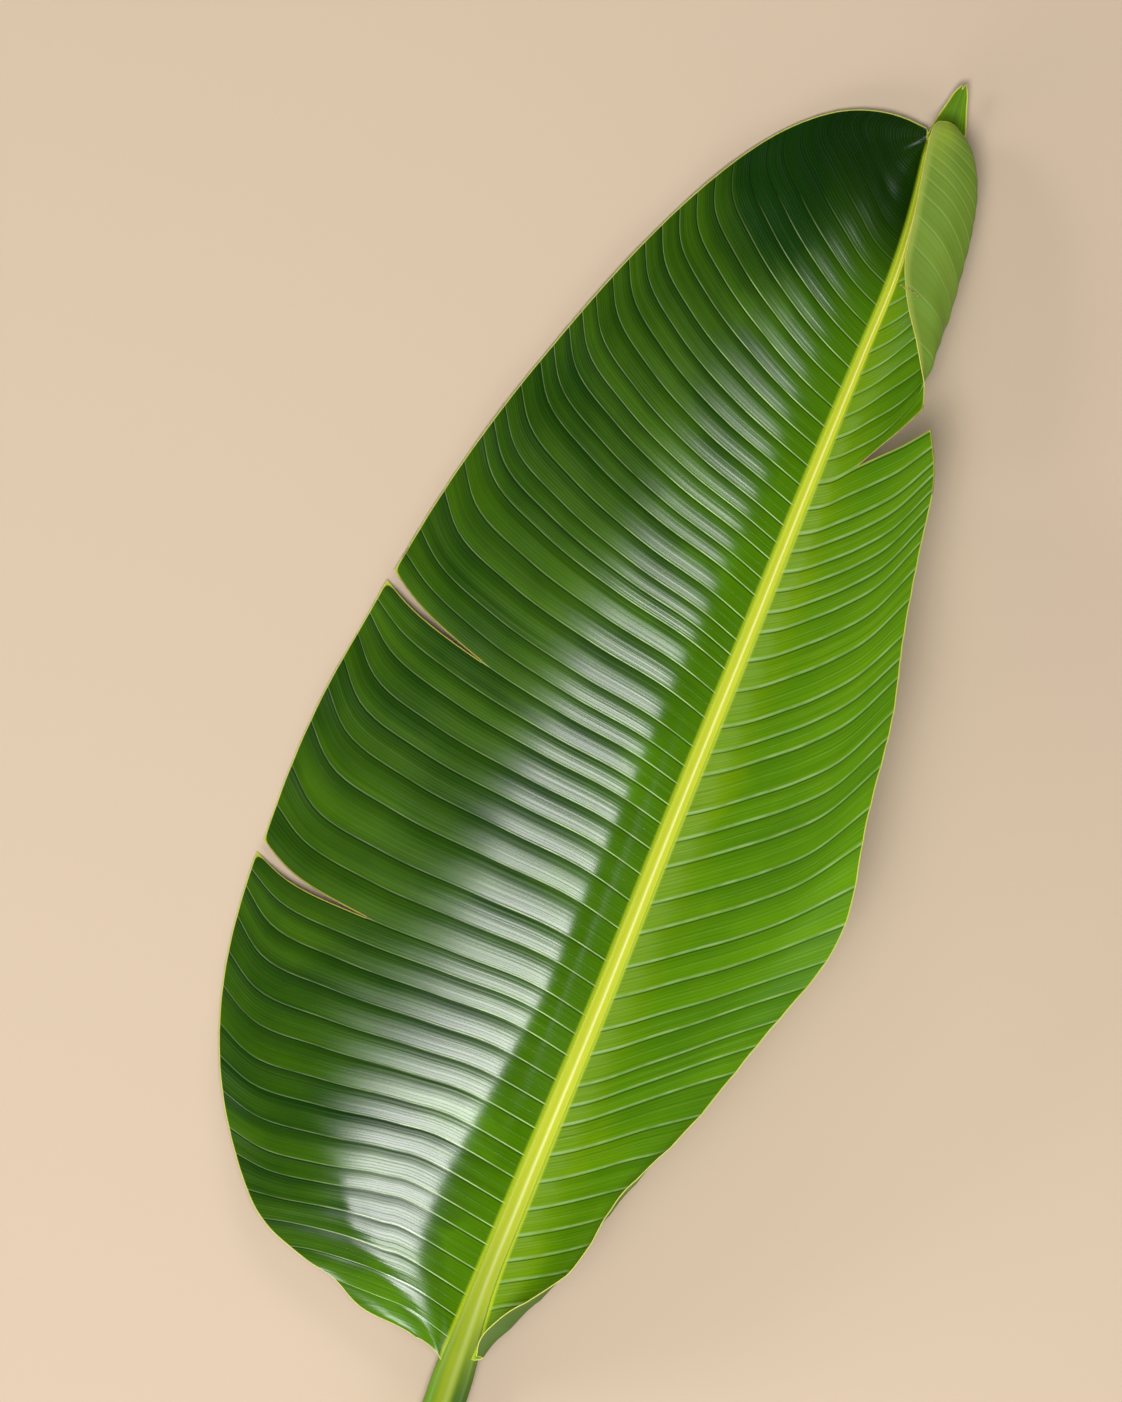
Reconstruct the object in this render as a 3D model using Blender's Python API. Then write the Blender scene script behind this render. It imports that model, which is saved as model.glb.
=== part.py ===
"""A picked leaf of a giant bird of paradise, lying on its keel, rebuilt as one closed solid.

The blade's length runs along +Y from the stalk to the apex, the narrow half that stands up is on
the +X side, and the glossy face looks up. The keel under the stalk and midrib touches z = 0.
"""

import bmesh
import bpy
import numpy as np

# Real sizes in metres.
BLADE_LENGTH = 0.720
STALK_LENGTH = 0.150
BLADE_THICKNESS = 0.0009
PLEAT_HEIGHT = 0.0010
ROOT_DEPTH = 0.0026
SPLIT_ROOT_LEFT = 0.62
SPLIT_ROOT_RIGHT = 0.42

# The midrib and stalk, from the cut end to the apex. Stations are shares of BLADE_LENGTH.
# Each row: station, sideways place (share), width (mm), top (mm), bottom (mm), channel depth (mm).
KEEL = [
    (-0.210, 0.0052, 21.0, 20.0, 0.0, 3.4),
    (-0.100, 0.0050, 21.2, 19.5, 0.0, 3.2),
    (-0.030, 0.0044, 22.4, 18.5, 0.0, 2.8),
    (0.000, 0.0032, 22.0, 17.5, 0.0, 2.2),
    (0.030, 0.0020, 18.0, 16.5, 0.0, 1.6),
    (0.060, 0.0008, 14.6, 15.8, 0.0, 1.2),
    (0.140, 0.0020, 13.0, 14.8, 0.0, 1.0),
    (0.300, 0.0062, 11.6, 13.6, 0.0, 0.9),
    (0.450, 0.0082, 10.6, 12.6, 0.0, 0.8),
    (0.600, 0.0112, 9.4, 11.4, 0.0, 0.7),
    (0.720, 0.0130, 8.0, 10.4, 0.4, 0.6),
    (0.824, 0.0155, 6.6, 9.4, 1.2, 0.5),
    (0.900, 0.0168, 5.4, 8.6, 1.9, 0.4),
    (0.951, 0.0120, 4.4, 7.6, 2.4, 0.3),
    (1.000, 0.0030, 3.2, 6.4, 2.6, 0.2),
]

# Veins of the broad half, from the midrib out to the margin. Each row: where the vein leaves the
# midrib (share), then its points as (along share, across share, height mm).
BROAD_KNOTS = (0.0, 0.12, 0.37, 0.66, 0.88, 1.0)
BROAD_VEINS = [
    (0.000, (0.0010, -0.0100, 17.2), (0.0030, -0.0120, 17.5), (0.0045, -0.0140, 17.6),
     (0.0055, -0.0155, 17.4), (0.0058, -0.0162, 17.2)),
    (0.006, (0.0100, -0.0125, 17.9), (0.0140, -0.0195, 18.2), (0.0165, -0.0275, 17.8),
     (0.0174, -0.0345, 17.0), (0.0169, -0.0376, 16.4)),
    (0.013, (0.0175, -0.0180, 18.6), (0.0245, -0.0340, 19.4), (0.0248, -0.0540, 17.4),
     (0.0218, -0.0685, 14.4), (0.0190, -0.0752, 13.0)),
    (0.024, (0.0285, -0.0225, 19.8), (0.0345, -0.0455, 21.2), (0.0350, -0.0765, 18.6),
     (0.0368, -0.1010, 16.8), (0.0390, -0.1109, 16.2)),
    (0.036, (0.0420, -0.0255, 21.0), (0.0490, -0.0580, 22.6), (0.0500, -0.0980, 19.4),
     (0.0462, -0.1300, 16.8), (0.0416, -0.1429, 14.4)),
    (0.050, (0.0560, -0.0275, 22.2), (0.0612, -0.0675, 23.6), (0.0605, -0.1150, 20.2),
     (0.0560, -0.1525, 17.2), (0.0520, -0.1672, 15.2)),
    (0.076, (0.0834, -0.0296, 23.3), (0.0867, -0.0756, 24.6), (0.0829, -0.1287, 20.4),
     (0.0739, -0.1690, 15.4), (0.0702, -0.1893, 11.4)),
    (0.100, (0.1074, -0.0317, 24.2), (0.1105, -0.0834, 25.0), (0.0991, -0.1419, 18.5),
     (0.0927, -0.1868, 10.7), (0.0969, -0.2113, 7.0)),
    (0.128, (0.1357, -0.0337, 24.8), (0.1384, -0.0909, 25.0), (0.1276, -0.1566, 17.6),
     (0.1235, -0.2069, 9.9), (0.1307, -0.2334, 6.4)),
    (0.160, (0.1681, -0.0350, 25.2), (0.1689, -0.0973, 24.9), (0.1594, -0.1691, 17.1),
     (0.1566, -0.2238, 8.5), (0.1681, -0.2511, 4.2)),
    (0.212, (0.2194, -0.0363, 25.3), (0.2190, -0.1042, 24.5), (0.2138, -0.1829, 16.7),
     (0.2164, -0.2425, 6.9), (0.2340, -0.2693, 2.5)),
    (0.250, (0.2581, -0.0361, 25.2), (0.2590, -0.1066, 24.3), (0.2569, -0.1884, 16.1),
     (0.2638, -0.2499, 6.2), (0.2854, -0.2748, 1.8)),
    (0.286, (0.2942, -0.0350, 24.9), (0.2962, -0.1060, 24.2), (0.2968, -0.1870, 15.8),
     (0.3045, -0.2480, 6.0), (0.3151, -0.2750, 1.6)),
    (0.330, (0.3383, -0.0345, 24.3), (0.3428, -0.1063, 23.8), (0.3475, -0.1896, 14.8),
     (0.3612, -0.2511, 5.5), (0.3848, -0.2753, 1.7)),
    (0.370, (0.3799, -0.0336, 23.5), (0.3874, -0.1053, 23.3), (0.3961, -0.1886, 14.2),
     (0.4141, -0.2494, 5.4), (0.4388, -0.2723, 1.8)),
    (0.420, (0.4292, -0.0324, 22.8), (0.4374, -0.1027, 22.8), (0.4494, -0.1840, 14.0),
     (0.4694, -0.2430, 5.5), (0.4947, -0.2642, 2.0)),
    (0.473, (0.4823, -0.0302, 21.6), (0.4924, -0.0983, 22.1), (0.5085, -0.1745, 14.3),
     (0.5285, -0.2320, 6.2), (0.5416, -0.2565, 2.6)),
    (0.530, (0.5407, -0.0275, 20.1), (0.5532, -0.0935, 21.3), (0.5728, -0.1689, 14.1),
     (0.5978, -0.2223, 6.6), (0.6233, -0.2408, 3.4)),
    (0.590, (0.6014, -0.0241, 18.9), (0.6168, -0.0864, 20.2), (0.6417, -0.1565, 13.6),
     (0.6698, -0.2055, 6.9), (0.6950, -0.2220, 4.0)),
    (0.653, (0.6637, -0.0209, 17.1), (0.6812, -0.0784, 18.8), (0.7095, -0.1420, 13.2),
     (0.7394, -0.1856, 6.9), (0.7644, -0.1992, 4.2)),
    (0.718, (0.7277, -0.0173, 15.7), (0.7470, -0.0691, 17.3), (0.7779, -0.1251, 12.6),
     (0.8095, -0.1619, 6.8), (0.8331, -0.1735, 4.1)),
    (0.770, (0.7794, -0.0133, 14.0), (0.8019, -0.0588, 16.3), (0.8336, -0.1083, 12.2),
     (0.8645, -0.1405, 6.8), (0.8872, -0.1490, 3.9)),
    (0.822, (0.8320, -0.0081, 12.3), (0.8546, -0.0470, 15.0), (0.8868, -0.0880, 10.9),
     (0.9158, -0.1148, 6.6), (0.9365, -0.1204, 3.5)),
    (0.874, (0.8820, -0.0026, 10.3), (0.9026, -0.0334, 13.2), (0.9304, -0.0661, 9.2),
     (0.9545, -0.0881, 5.6), (0.9720, -0.0910, 3.2)),
    (0.920, (0.9259, 0.0003, 9.2), (0.9442, -0.0204, 11.2), (0.9662, -0.0439, 7.6),
     (0.9838, -0.0607, 4.6), (0.9954, -0.0580, 3.2)),
    (0.955, (0.9620, -0.0080, 9.6), (0.9730, -0.0220, 8.2), (0.9840, -0.0300, 7.0),
     (0.9940, -0.0310, 6.0), (1.0035, -0.0270, 5.2)),
    (0.990, (0.9920, -0.0010, 7.2), (0.9960, -0.0030, 6.8), (0.9980, -0.0040, 6.7),
     (1.0000, -0.0040, 6.6), (1.0010, -0.0035, 6.4)),
]

# Veins of the narrow half below its split. It stands up steeply, and its margin turns in at the base.
NARROW_KNOTS = (0.0, 0.2, 0.4, 0.6, 0.8, 1.0)
NARROW_VEINS = [
    (0.012, (0.014, 0.0115, 16.4), (0.016, 0.0150, 17.8), (0.018, 0.018, 20.6), (0.020, 0.0185, 24.4),
     (0.020, 0.0140, 27.0)),
    (0.022, (0.023, 0.0125, 16.6), (0.027, 0.0180, 19.6), (0.031, 0.022, 25.0), (0.033, 0.0205, 30.0),
     (0.031, 0.0115, 32.0)),
    (0.040, (0.046, 0.0155, 17.2), (0.052, 0.0255, 22.6), (0.057, 0.0345, 32.0), (0.059, 0.0330, 41.0),
     (0.055, 0.0190, 45.0)),
    (0.057, (0.064, 0.0185, 18.4), (0.072, 0.0315, 26.0), (0.079, 0.0420, 38.0), (0.084, 0.0465, 49.0),
     (0.077, 0.0375, 55.0)),
    (0.076, (0.084, 0.0205, 19.0), (0.093, 0.0360, 28.0), (0.101, 0.0480, 41.0), (0.107, 0.0560, 54.0),
     (0.105, 0.0580, 63.0)),
    (0.100, (0.109, 0.0225, 19.6), (0.120, 0.0390, 30.0), (0.131, 0.0530, 45.0), (0.140, 0.0625, 59.0),
     (0.146, 0.0645, 71.0)),
    (0.122, (0.132, 0.0240, 20.0), (0.144, 0.0420, 32.0), (0.156, 0.0580, 48.0), (0.168, 0.0715, 64.0),
     (0.174, 0.0695, 76.0)),
    (0.140, (0.151, 0.0260, 20.4), (0.165, 0.0450, 33.0), (0.180, 0.0635, 50.0), (0.193, 0.0800, 67.0),
     (0.199, 0.0815, 79.0)),
    (0.165, (0.177, 0.0270, 20.8), (0.193, 0.0480, 35.0), (0.210, 0.0680, 53.0), (0.224, 0.0870, 70.0),
     (0.232, 0.0970, 84.0)),
    (0.216, (0.230, 0.0290, 21.0), (0.250, 0.0510, 37.0), (0.271, 0.0740, 57.0), (0.293, 0.0980, 76.0),
     (0.315, 0.1240, 93.0)),
    (0.294, (0.308, 0.0310, 21.0), (0.327, 0.0550, 38.0), (0.348, 0.0820, 60.0), (0.374, 0.1120, 82.0),
     (0.410, 0.1525, 104.0)),
    (0.372, (0.387, 0.0330, 20.6), (0.406, 0.0580, 38.0), (0.428, 0.0850, 61.0), (0.456, 0.1130, 84.0),
     (0.500, 0.1395, 106.0)),
    (0.450, (0.464, 0.0330, 19.6), (0.483, 0.0570, 37.0), (0.506, 0.0845, 59.0), (0.534, 0.1090, 81.0),
     (0.580, 0.1300, 102.0)),
    (0.515, (0.527, 0.0330, 18.6), (0.544, 0.0540, 34.0), (0.565, 0.0770, 55.0), (0.592, 0.0990, 76.0),
     (0.630, 0.1180, 95.0)),
    (0.592, (0.602, 0.0320, 17.4), (0.617, 0.0500, 31.0), (0.635, 0.0690, 49.0), (0.660, 0.0890, 68.0),
     (0.700, 0.1055, 85.0)),
    (0.657, (0.666, 0.0310, 16.0), (0.679, 0.0470, 28.0), (0.695, 0.0640, 43.0), (0.717, 0.0815, 60.0),
     (0.752, 0.0975, 75.0)),
    (0.722, (0.730, 0.0290, 14.4), (0.743, 0.0405, 23.0), (0.756, 0.0530, 34.0), (0.770, 0.0670, 47.0),
     (0.788, 0.0820, 60.0)),
]

# Veins of the narrow half above its split, where the blade rolls over and back to the midrib.
ROLL_KNOTS = (0.0, 1 / 6, 2 / 6, 3 / 6, 4 / 6, 5 / 6, 1.0)
SPLIT_GAP_RIGHT = (0.012, -0.011, -2.0)
ROLL_VEINS = [
    (0.748, (0.755, 0.0280, 13.0), (0.764, 0.038, 20.0), (0.775, 0.0480, 28.0), (0.787, 0.0560, 36.0),
     (0.802, 0.0625, 43.0), (0.8175, 0.0665, 49.0)),
    (0.762, (0.770, 0.0290, 13.0), (0.781, 0.040, 20.0), (0.795, 0.0510, 28.0), (0.810, 0.0610, 37.0),
     (0.824, 0.0675, 47.0), (0.827, 0.0615, 54.0)),
    (0.776, (0.785, 0.0300, 13.0), (0.798, 0.042, 20.0), (0.814, 0.0540, 29.0), (0.832, 0.0650, 39.0),
     (0.845, 0.0665, 50.0), (0.848, 0.0475, 57.0)),
    (0.792, (0.803, 0.0320, 13.0), (0.819, 0.045, 20.0), (0.839, 0.0580, 29.0), (0.858, 0.0665, 40.0),
     (0.869, 0.0560, 52.0), (0.871, 0.0310, 55.0)),
    (0.806, (0.818, 0.0330, 13.0), (0.836, 0.047, 20.0), (0.857, 0.0600, 29.0), (0.876, 0.0655, 40.0),
     (0.889, 0.0490, 50.0), (0.893, 0.0200, 50.0)),
    (0.830, (0.843, 0.0340, 12.5), (0.861, 0.047, 19.0), (0.882, 0.0600, 27.0), (0.902, 0.0625, 38.0),
     (0.916, 0.0440, 46.0), (0.921, 0.0160, 44.0)),
    (0.860, (0.874, 0.0340, 12.0), (0.892, 0.046, 18.0), (0.912, 0.0585, 26.0), (0.931, 0.0590, 36.0),
     (0.945, 0.0390, 42.0), (0.949, 0.0110, 39.0)),
    (0.890, (0.903, 0.0330, 11.0), (0.919, 0.044, 16.0), (0.936, 0.0560, 24.0), (0.952, 0.0550, 33.0),
     (0.965, 0.0340, 38.0), (0.970, 0.0075, 35.0)),
    (0.920, (0.931, 0.0290, 10.0), (0.944, 0.040, 15.0), (0.958, 0.0515, 22.0), (0.971, 0.0500, 30.0),
     (0.981, 0.0290, 34.0), (0.985, 0.0050, 31.0)),
    (0.950, (0.959, 0.0230, 9.2), (0.969, 0.033, 13.0), (0.980, 0.0435, 19.0), (0.989, 0.0415, 26.0),
     (0.995, 0.0240, 29.0), (0.997, 0.0035, 27.0)),
    (0.980, (0.985, 0.0160, 8.4), (0.991, 0.024, 11.4), (0.998, 0.0325, 16.0), (1.003, 0.0300, 21.0),
     (1.006, 0.0175, 24.0), (1.005, 0.0040, 23.0)),
    (0.998, (1.001, 0.0110, 8.2), (1.004, 0.016, 10.0), (1.008, 0.0205, 13.0), (1.010, 0.0190, 17.0),
     (1.011, 0.0125, 19.0), (1.009, 0.0060, 19.0)),
]

# The short tongue at the apex: station, left edge and right edge (shares), height (mm).
TONGUE = [
    (0.984, 0.0055, 0.0095, 4.6),
    (0.996, 0.0020, 0.0210, 4.8),
    (1.005, 0.0025, 0.0285, 5.0),
    (1.015, 0.0045, 0.0262, 5.6),
    (1.026, 0.0072, 0.0225, 6.4),
    (1.036, 0.0098, 0.0192, 7.4),
    (1.0405, 0.0122, 0.0168, 8.0),
]

# Splits of the broad half: vein that tears, then half of the gap at the margin (shares of length).
BROAD_SPLITS = [
    (0.286, 0.0051, 0.0010),
    (0.473, 0.0045, 0.0014),
]
SPLIT_REACH = 0.040
NARROW_SPLIT = 0.722

# The veins along which each half is creased, as places along the midrib. Between two of them the
# blade arches up as one pleat.
BROAD_CREASES = [
    0.005, 0.022, 0.040, 0.058, 0.078, 0.0987, 0.1126, 0.1325, 0.153, 0.1714, 0.1933, 0.2128,
    0.2327, 0.2531, 0.2701, 0.286, 0.3089, 0.3298, 0.3557, 0.3782, 0.3996, 0.420, 0.4405, 0.4559,
    0.473, 0.4873, 0.5032, 0.5266, 0.5466, 0.566, 0.5775, 0.5894, 0.6059, 0.6258, 0.6393, 0.6552,
    0.6687, 0.6826, 0.6995, 0.7155, 0.731, 0.747, 0.763, 0.779, 0.795, 0.811, 0.828, 0.845, 0.862,
    0.880, 0.898, 0.917, 0.937, 0.957, 0.976, 0.996,
]
NARROW_CREASES = [
    0.012, 0.032, 0.053, 0.0745, 0.092, 0.112, 0.1333, 0.1555, 0.1773, 0.201, 0.2166, 0.2332,
    0.2588, 0.2787, 0.3047, 0.3293, 0.3568, 0.381, 0.4103, 0.4317, 0.453, 0.4847, 0.5032, 0.524,
    0.5534, 0.578, 0.6007, 0.6168, 0.6344, 0.6495, 0.6661, 0.6803, 0.701, 0.722, 0.740, 0.757,
    0.774, 0.791, 0.808, 0.826, 0.844, 0.863, 0.882, 0.902, 0.922, 0.943, 0.962, 0.980, 0.996,
]


def leaf_material(name, colour, roughness):
    """Makes a plain Principled finish for one region of the leaf."""
    finish = bpy.data.materials.new(name)
    finish.use_nodes = True
    shader = finish.node_tree.nodes["Principled BSDF"]
    shader.inputs["Base Color"].default_value = (*colour, 1.0)
    shader.inputs["Roughness"].default_value = roughness
    shader.inputs["Metallic"].default_value = 0.0
    finish.diffuse_color = (*colour, 1.0)
    return finish


def smooth(knots, values, wanted):
    """Passes a smooth curve through the values at the knots and reads it at the wanted places."""
    knots = np.asarray(knots, dtype=float)
    values = np.asarray(values, dtype=float)
    wanted = np.clip(np.asarray(wanted, dtype=float), knots[0], knots[-1])
    steps = np.diff(knots)
    spread = (-1,) + (1,) * (values.ndim - 1)
    chords = np.diff(values, axis=0) / steps.reshape(spread)
    slopes = np.empty_like(values)
    slopes[0] = chords[0]
    slopes[-1] = chords[-1]
    before = steps[:-1].reshape(spread)
    after = steps[1:].reshape(spread)
    slopes[1:-1] = (chords[:-1] * after + chords[1:] * before) / (before + after)
    span = np.clip(np.searchsorted(knots, wanted, side="right") - 1, 0, len(steps) - 1)
    step = steps[span].reshape(spread)
    part = ((wanted - knots[span]) / steps[span]).reshape(spread)
    start = values[span] * (1 + 2 * part) * (1 - part) ** 2
    leave = slopes[span] * step * part * (1 - part) ** 2
    end = values[span + 1] * part ** 2 * (3 - 2 * part)
    arrive = slopes[span + 1] * step * part ** 2 * (part - 1)
    return start + leave + end + arrive


def keel_at(stations):
    """Gives the keel's sideways place, width, top, bottom and channel depth, in metres."""
    rows = np.array(KEEL)
    found = smooth(rows[:, 0], rows[:, 1:], stations)
    found[:, 0] *= BLADE_LENGTH
    found[:, 1:] /= 1000.0
    found[:, 3] = np.maximum(found[:, 3], 0.0)
    return found


def vein_points(rows, side):
    """Turns a table of veins into metres, each one starting inside the midrib."""
    starts = np.array([row[0] for row in rows])
    points = np.array([row[1:] for row in rows], dtype=float)
    place = keel_at(starts)
    root = np.empty((len(rows), 1, 3))
    root[:, 0, 0] = place[:, 0] + side * (place[:, 1] / 2 - ROOT_DEPTH)
    root[:, 0, 1] = starts * BLADE_LENGTH
    root[:, 0, 2] = place[:, 2] - 0.0016
    body = np.empty_like(points)
    body[:, :, 0] = points[:, :, 1] * BLADE_LENGTH
    body[:, :, 1] = points[:, :, 0] * BLADE_LENGTH
    body[:, :, 2] = points[:, :, 2] / 1000.0
    return starts, np.concatenate([root, body], axis=1)


def sheet(starts, veins, knots, stations, shares):
    """Spans the smooth surface through the veins, read at the stations and shares of width."""
    along = smooth(starts, veins, stations)
    across = smooth(knots, along.transpose(1, 0, 2), shares)
    return across.transpose(1, 0, 2)


def normals_of(grid, turned):
    """Finds which way the surface faces at each of its points."""
    downstream = np.gradient(grid, axis=0)
    outward = np.gradient(grid, axis=1)
    facing = np.cross(outward, downstream) * turned
    size = np.linalg.norm(facing, axis=2, keepdims=True)
    return facing / np.maximum(size, 1e-9)


def pleat_rows(creases, coarse_from):
    """Lists the rows of a half: every crease, and the rows on the arch of every pleat."""
    stations = []
    arch = []
    for low, high in zip(creases[:-1], creases[1:]):
        rows = 3 if low < coarse_from else 2
        for step in range(rows):
            part = step / rows
            stations.append(low + (high - low) * part)
            arch.append(4 * part * (1 - part))
    stations.append(creases[-1])
    arch.append(0.0)
    return np.array(stations), np.array(arch)


def pleated(grid, stations, arch, shares, turned):
    """Raises each pleat off the smooth surface, least at the midrib and near the apex."""
    facing = normals_of(grid, turned)
    inner = np.clip((shares - 0.02) / 0.14, 0.0, 1.0)
    outer = 1.0 - 0.45 * np.clip((shares - 0.7) / 0.3, 0.0, 1.0)
    ends = np.clip((1.0 - stations) / 0.14, 0.15, 1.0) * np.clip(stations / 0.05, 0.15, 1.0)
    lift = PLEAT_HEIGHT * arch[:, None] * (inner * outer)[None, :] * ends[:, None]
    return grid + facing * lift[:, :, None]


def add_sheet(maker, grid, shared_row=None, shared_columns=0):
    """Adds a grid to the mesh in triangles, taking the first columns of row 0 from shared_row."""
    nodes = []
    for row in range(grid.shape[0]):
        line = []
        for column in range(grid.shape[1]):
            if row == 0 and shared_row is not None and column < shared_columns:
                line.append(shared_row[column])
            else:
                line.append(maker.verts.new(tuple(grid[row, column])))
        nodes.append(line)
    for row in range(grid.shape[0] - 1):
        for column in range(grid.shape[1] - 1):
            a = nodes[row][column]
            b = nodes[row][column + 1]
            c = nodes[row + 1][column + 1]
            d = nodes[row + 1][column]
            maker.faces.new((a, b, c))
            maker.faces.new((a, c, d))
    return nodes


def blade_object(name, maker, finishes, flip):
    """Makes a sheet into an object and gives it the blade's thickness."""
    if flip:
        bmesh.ops.reverse_faces(maker, faces=maker.faces)
    data = bpy.data.meshes.new(name)
    maker.to_mesh(data)
    maker.free()
    piece = bpy.data.objects.new(name, data)
    bpy.context.collection.objects.link(piece)
    for finish in finishes:
        data.materials.append(finish)
    thick = piece.modifiers.new("blade thickness", "SOLIDIFY")
    thick.thickness = BLADE_THICKNESS
    thick.offset = 0.0
    thick.use_even_offset = False
    thick.use_rim = True
    thick.material_offset = 1
    thick.material_offset_rim = 2
    piece.hide_render = True
    piece.display_type = "WIRE"
    return piece


def broad_half(finishes):
    """Builds the broad half: two torn veins part it into three panels that share the inner blade."""
    starts, veins = vein_points(BROAD_VEINS, -1)
    shares = np.array([0.0, 0.08, 0.24, 0.43, 0.62, 0.82, 1.0])
    stations, arch = pleat_rows(BROAD_CREASES, 0.66)
    grid = sheet(starts, veins, BROAD_KNOTS, stations, shares)
    grid = pleated(grid, stations, arch, shares, -1.0)
    openness = np.clip((shares - SPLIT_ROOT_LEFT) / (1.0 - SPLIT_ROOT_LEFT), 0.0, 1.0)
    shared = int(np.sum(openness == 0.0))
    maker = bmesh.new()
    first = 0
    last_row = None
    bounds = [split[0] for split in BROAD_SPLITS] + [BROAD_CREASES[-1]]
    for panel, limit in enumerate(bounds):
        end = int(np.argmin(np.abs(stations - limit)))
        part = grid[first:end + 1].copy()
        places = stations[first:end + 1]
        for torn, gap_along, gap_across in BROAD_SPLITS:
            away = 1.0 if places.mean() > torn else -1.0
            fade = np.clip(1.0 - np.abs(places - torn) / SPLIT_REACH, 0.0, 1.0) ** 1.5
            move = away * fade[:, None] * openness[None, :] * BLADE_LENGTH
            part[:, :, 1] += move * gap_along
            part[:, :, 0] += move * gap_across
            part[:, :, 2] += 0.0010 * np.abs(move) / BLADE_LENGTH * (panel - 1)
        nodes = add_sheet(maker, part, last_row, shared)
        last_row = nodes[-1]
        first = end
    return blade_object("broad_half", maker, finishes, False)


def narrow_half(finishes):
    """Builds the half that stands up: the part below the split, then the part that rolls over."""
    starts, veins = vein_points(NARROW_VEINS, 1)
    inner_shares = [0.0, 0.09, 0.20, 0.32, 0.42]
    lower_shares = np.array(inner_shares + [0.56, 0.70, 0.85, 1.0])
    upper_shares = np.array(inner_shares + [0.54, 0.65, 0.74, 0.83, 0.92, 1.0])
    stations, arch = pleat_rows(NARROW_CREASES, 0.70)
    torn = int(np.argmin(np.abs(stations - NARROW_SPLIT)))
    lower = sheet(starts, veins, NARROW_KNOTS, stations[:torn + 1], lower_shares)
    torn_edge = sheet(starts, veins, NARROW_KNOTS, [NARROW_SPLIT], upper_shares)[0]
    openness = np.clip((upper_shares - SPLIT_ROOT_RIGHT) / (1.0 - SPLIT_ROOT_RIGHT), 0.0, 1.0)
    gap = np.array([SPLIT_GAP_RIGHT[1] * BLADE_LENGTH, SPLIT_GAP_RIGHT[0] * BLADE_LENGTH,
                    SPLIT_GAP_RIGHT[2] / 1000.0])
    edge_knots = np.array(ROLL_KNOTS)
    edge = smooth(NARROW_KNOTS, smooth(starts, veins, [NARROW_SPLIT])[0], edge_knots)
    edge_open = np.clip((edge_knots - SPLIT_ROOT_RIGHT) / (1.0 - SPLIT_ROOT_RIGHT), 0.0, 1.0)
    edge = edge + edge_open[:, None] * gap
    roll_starts, roll_veins = vein_points(ROLL_VEINS, 1)
    roll_starts = np.concatenate([[NARROW_SPLIT], roll_starts])
    roll_veins = np.concatenate([edge[None, :, :], roll_veins])
    upper = sheet(roll_starts, roll_veins, ROLL_KNOTS, stations[torn:], upper_shares)
    upper[0] = torn_edge + openness[:, None] * gap
    lower = pleated(lower, stations[:torn + 1], arch[:torn + 1], lower_shares, 1.0)
    upper = pleated(upper, stations[torn:], arch[torn:], upper_shares, 1.0)
    maker = bmesh.new()
    nodes = add_sheet(maker, lower)
    add_sheet(maker, upper, nodes[-1], len(inner_shares))
    return blade_object("narrow_half", maker, finishes, True)


def tongue(finishes):
    """Builds the short blunt tongue in which the apex ends, its edges turned up a little."""
    rows = np.array(TONGUE)
    stations = np.linspace(rows[0, 0], rows[-1, 0], 9)
    found = smooth(rows[:, 0], rows[:, 1:], stations)
    spread = np.linspace(0.0, 1.0, 6)
    grid = np.empty((len(stations), len(spread), 3))
    for row, station in enumerate(stations):
        left, right, height = found[row]
        grid[row, :, 0] = (left + (right - left) * spread) * BLADE_LENGTH
        grid[row, :, 1] = station * BLADE_LENGTH
        grid[row, :, 2] = (height + 1.6 * (2 * spread - 1) ** 2) / 1000.0
    notch = np.array([0.0, 0.6, -1.4, 1.0, 1.8, 0.2]) / 1000.0
    grid[-1, :, 1] += notch
    maker = bmesh.new()
    add_sheet(maker, grid)
    return blade_object("tongue", maker, finishes, True)


def keel_section(width, top, bottom, channel):
    """Draws the outline across the stalk or midrib: flat keel, round flanks, shallow channel."""
    half = width / 2
    tall = top - bottom
    flank = [
        (0.34, 0.000),
        (0.58, 0.055),
        (0.78, 0.210),
        (0.95, 0.450),
        (1.00, 0.700),
        (0.95, 0.900),
        (0.80, 0.990),
    ]
    right = [(half * x, bottom + tall * z) for x, z in flank]
    trough = [(half * 0.40, top - channel * 0.62), (0.0, top - channel), (-half * 0.40, top - channel * 0.62)]
    left = [(-x, z) for x, z in reversed(right)]
    return right + trough + left


def keel_object(finish):
    """Lofts the stalk and midrib as one closed body along the leaf."""
    stalk = np.linspace(-STALK_LENGTH / BLADE_LENGTH, 0.0, 6)
    rib = np.linspace(0.0, 1.0, 31)[1:]
    stations = np.concatenate([stalk, rib])
    found = keel_at(stations)
    maker = bmesh.new()
    rings = []
    for station, (place, width, top, bottom, channel) in zip(stations, found):
        ring = []
        for x, z in keel_section(width, top, bottom, channel):
            ring.append(maker.verts.new((place + x, station * BLADE_LENGTH, z)))
        rings.append(ring)
    for near, far in zip(rings[:-1], rings[1:]):
        for index in range(len(near)):
            after = (index + 1) % len(near)
            maker.faces.new((near[index], far[index], far[after], near[after]))
    maker.faces.new(rings[0])
    maker.faces.new(list(reversed(rings[-1])))
    bmesh.ops.triangulate(maker, faces=maker.faces)
    bmesh.ops.recalc_face_normals(maker, faces=maker.faces)
    data = bpy.data.meshes.new("leaf")
    maker.to_mesh(data)
    maker.free()
    data.materials.append(finish)
    piece = bpy.data.objects.new("leaf", data)
    bpy.context.collection.objects.link(piece)
    return piece


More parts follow.
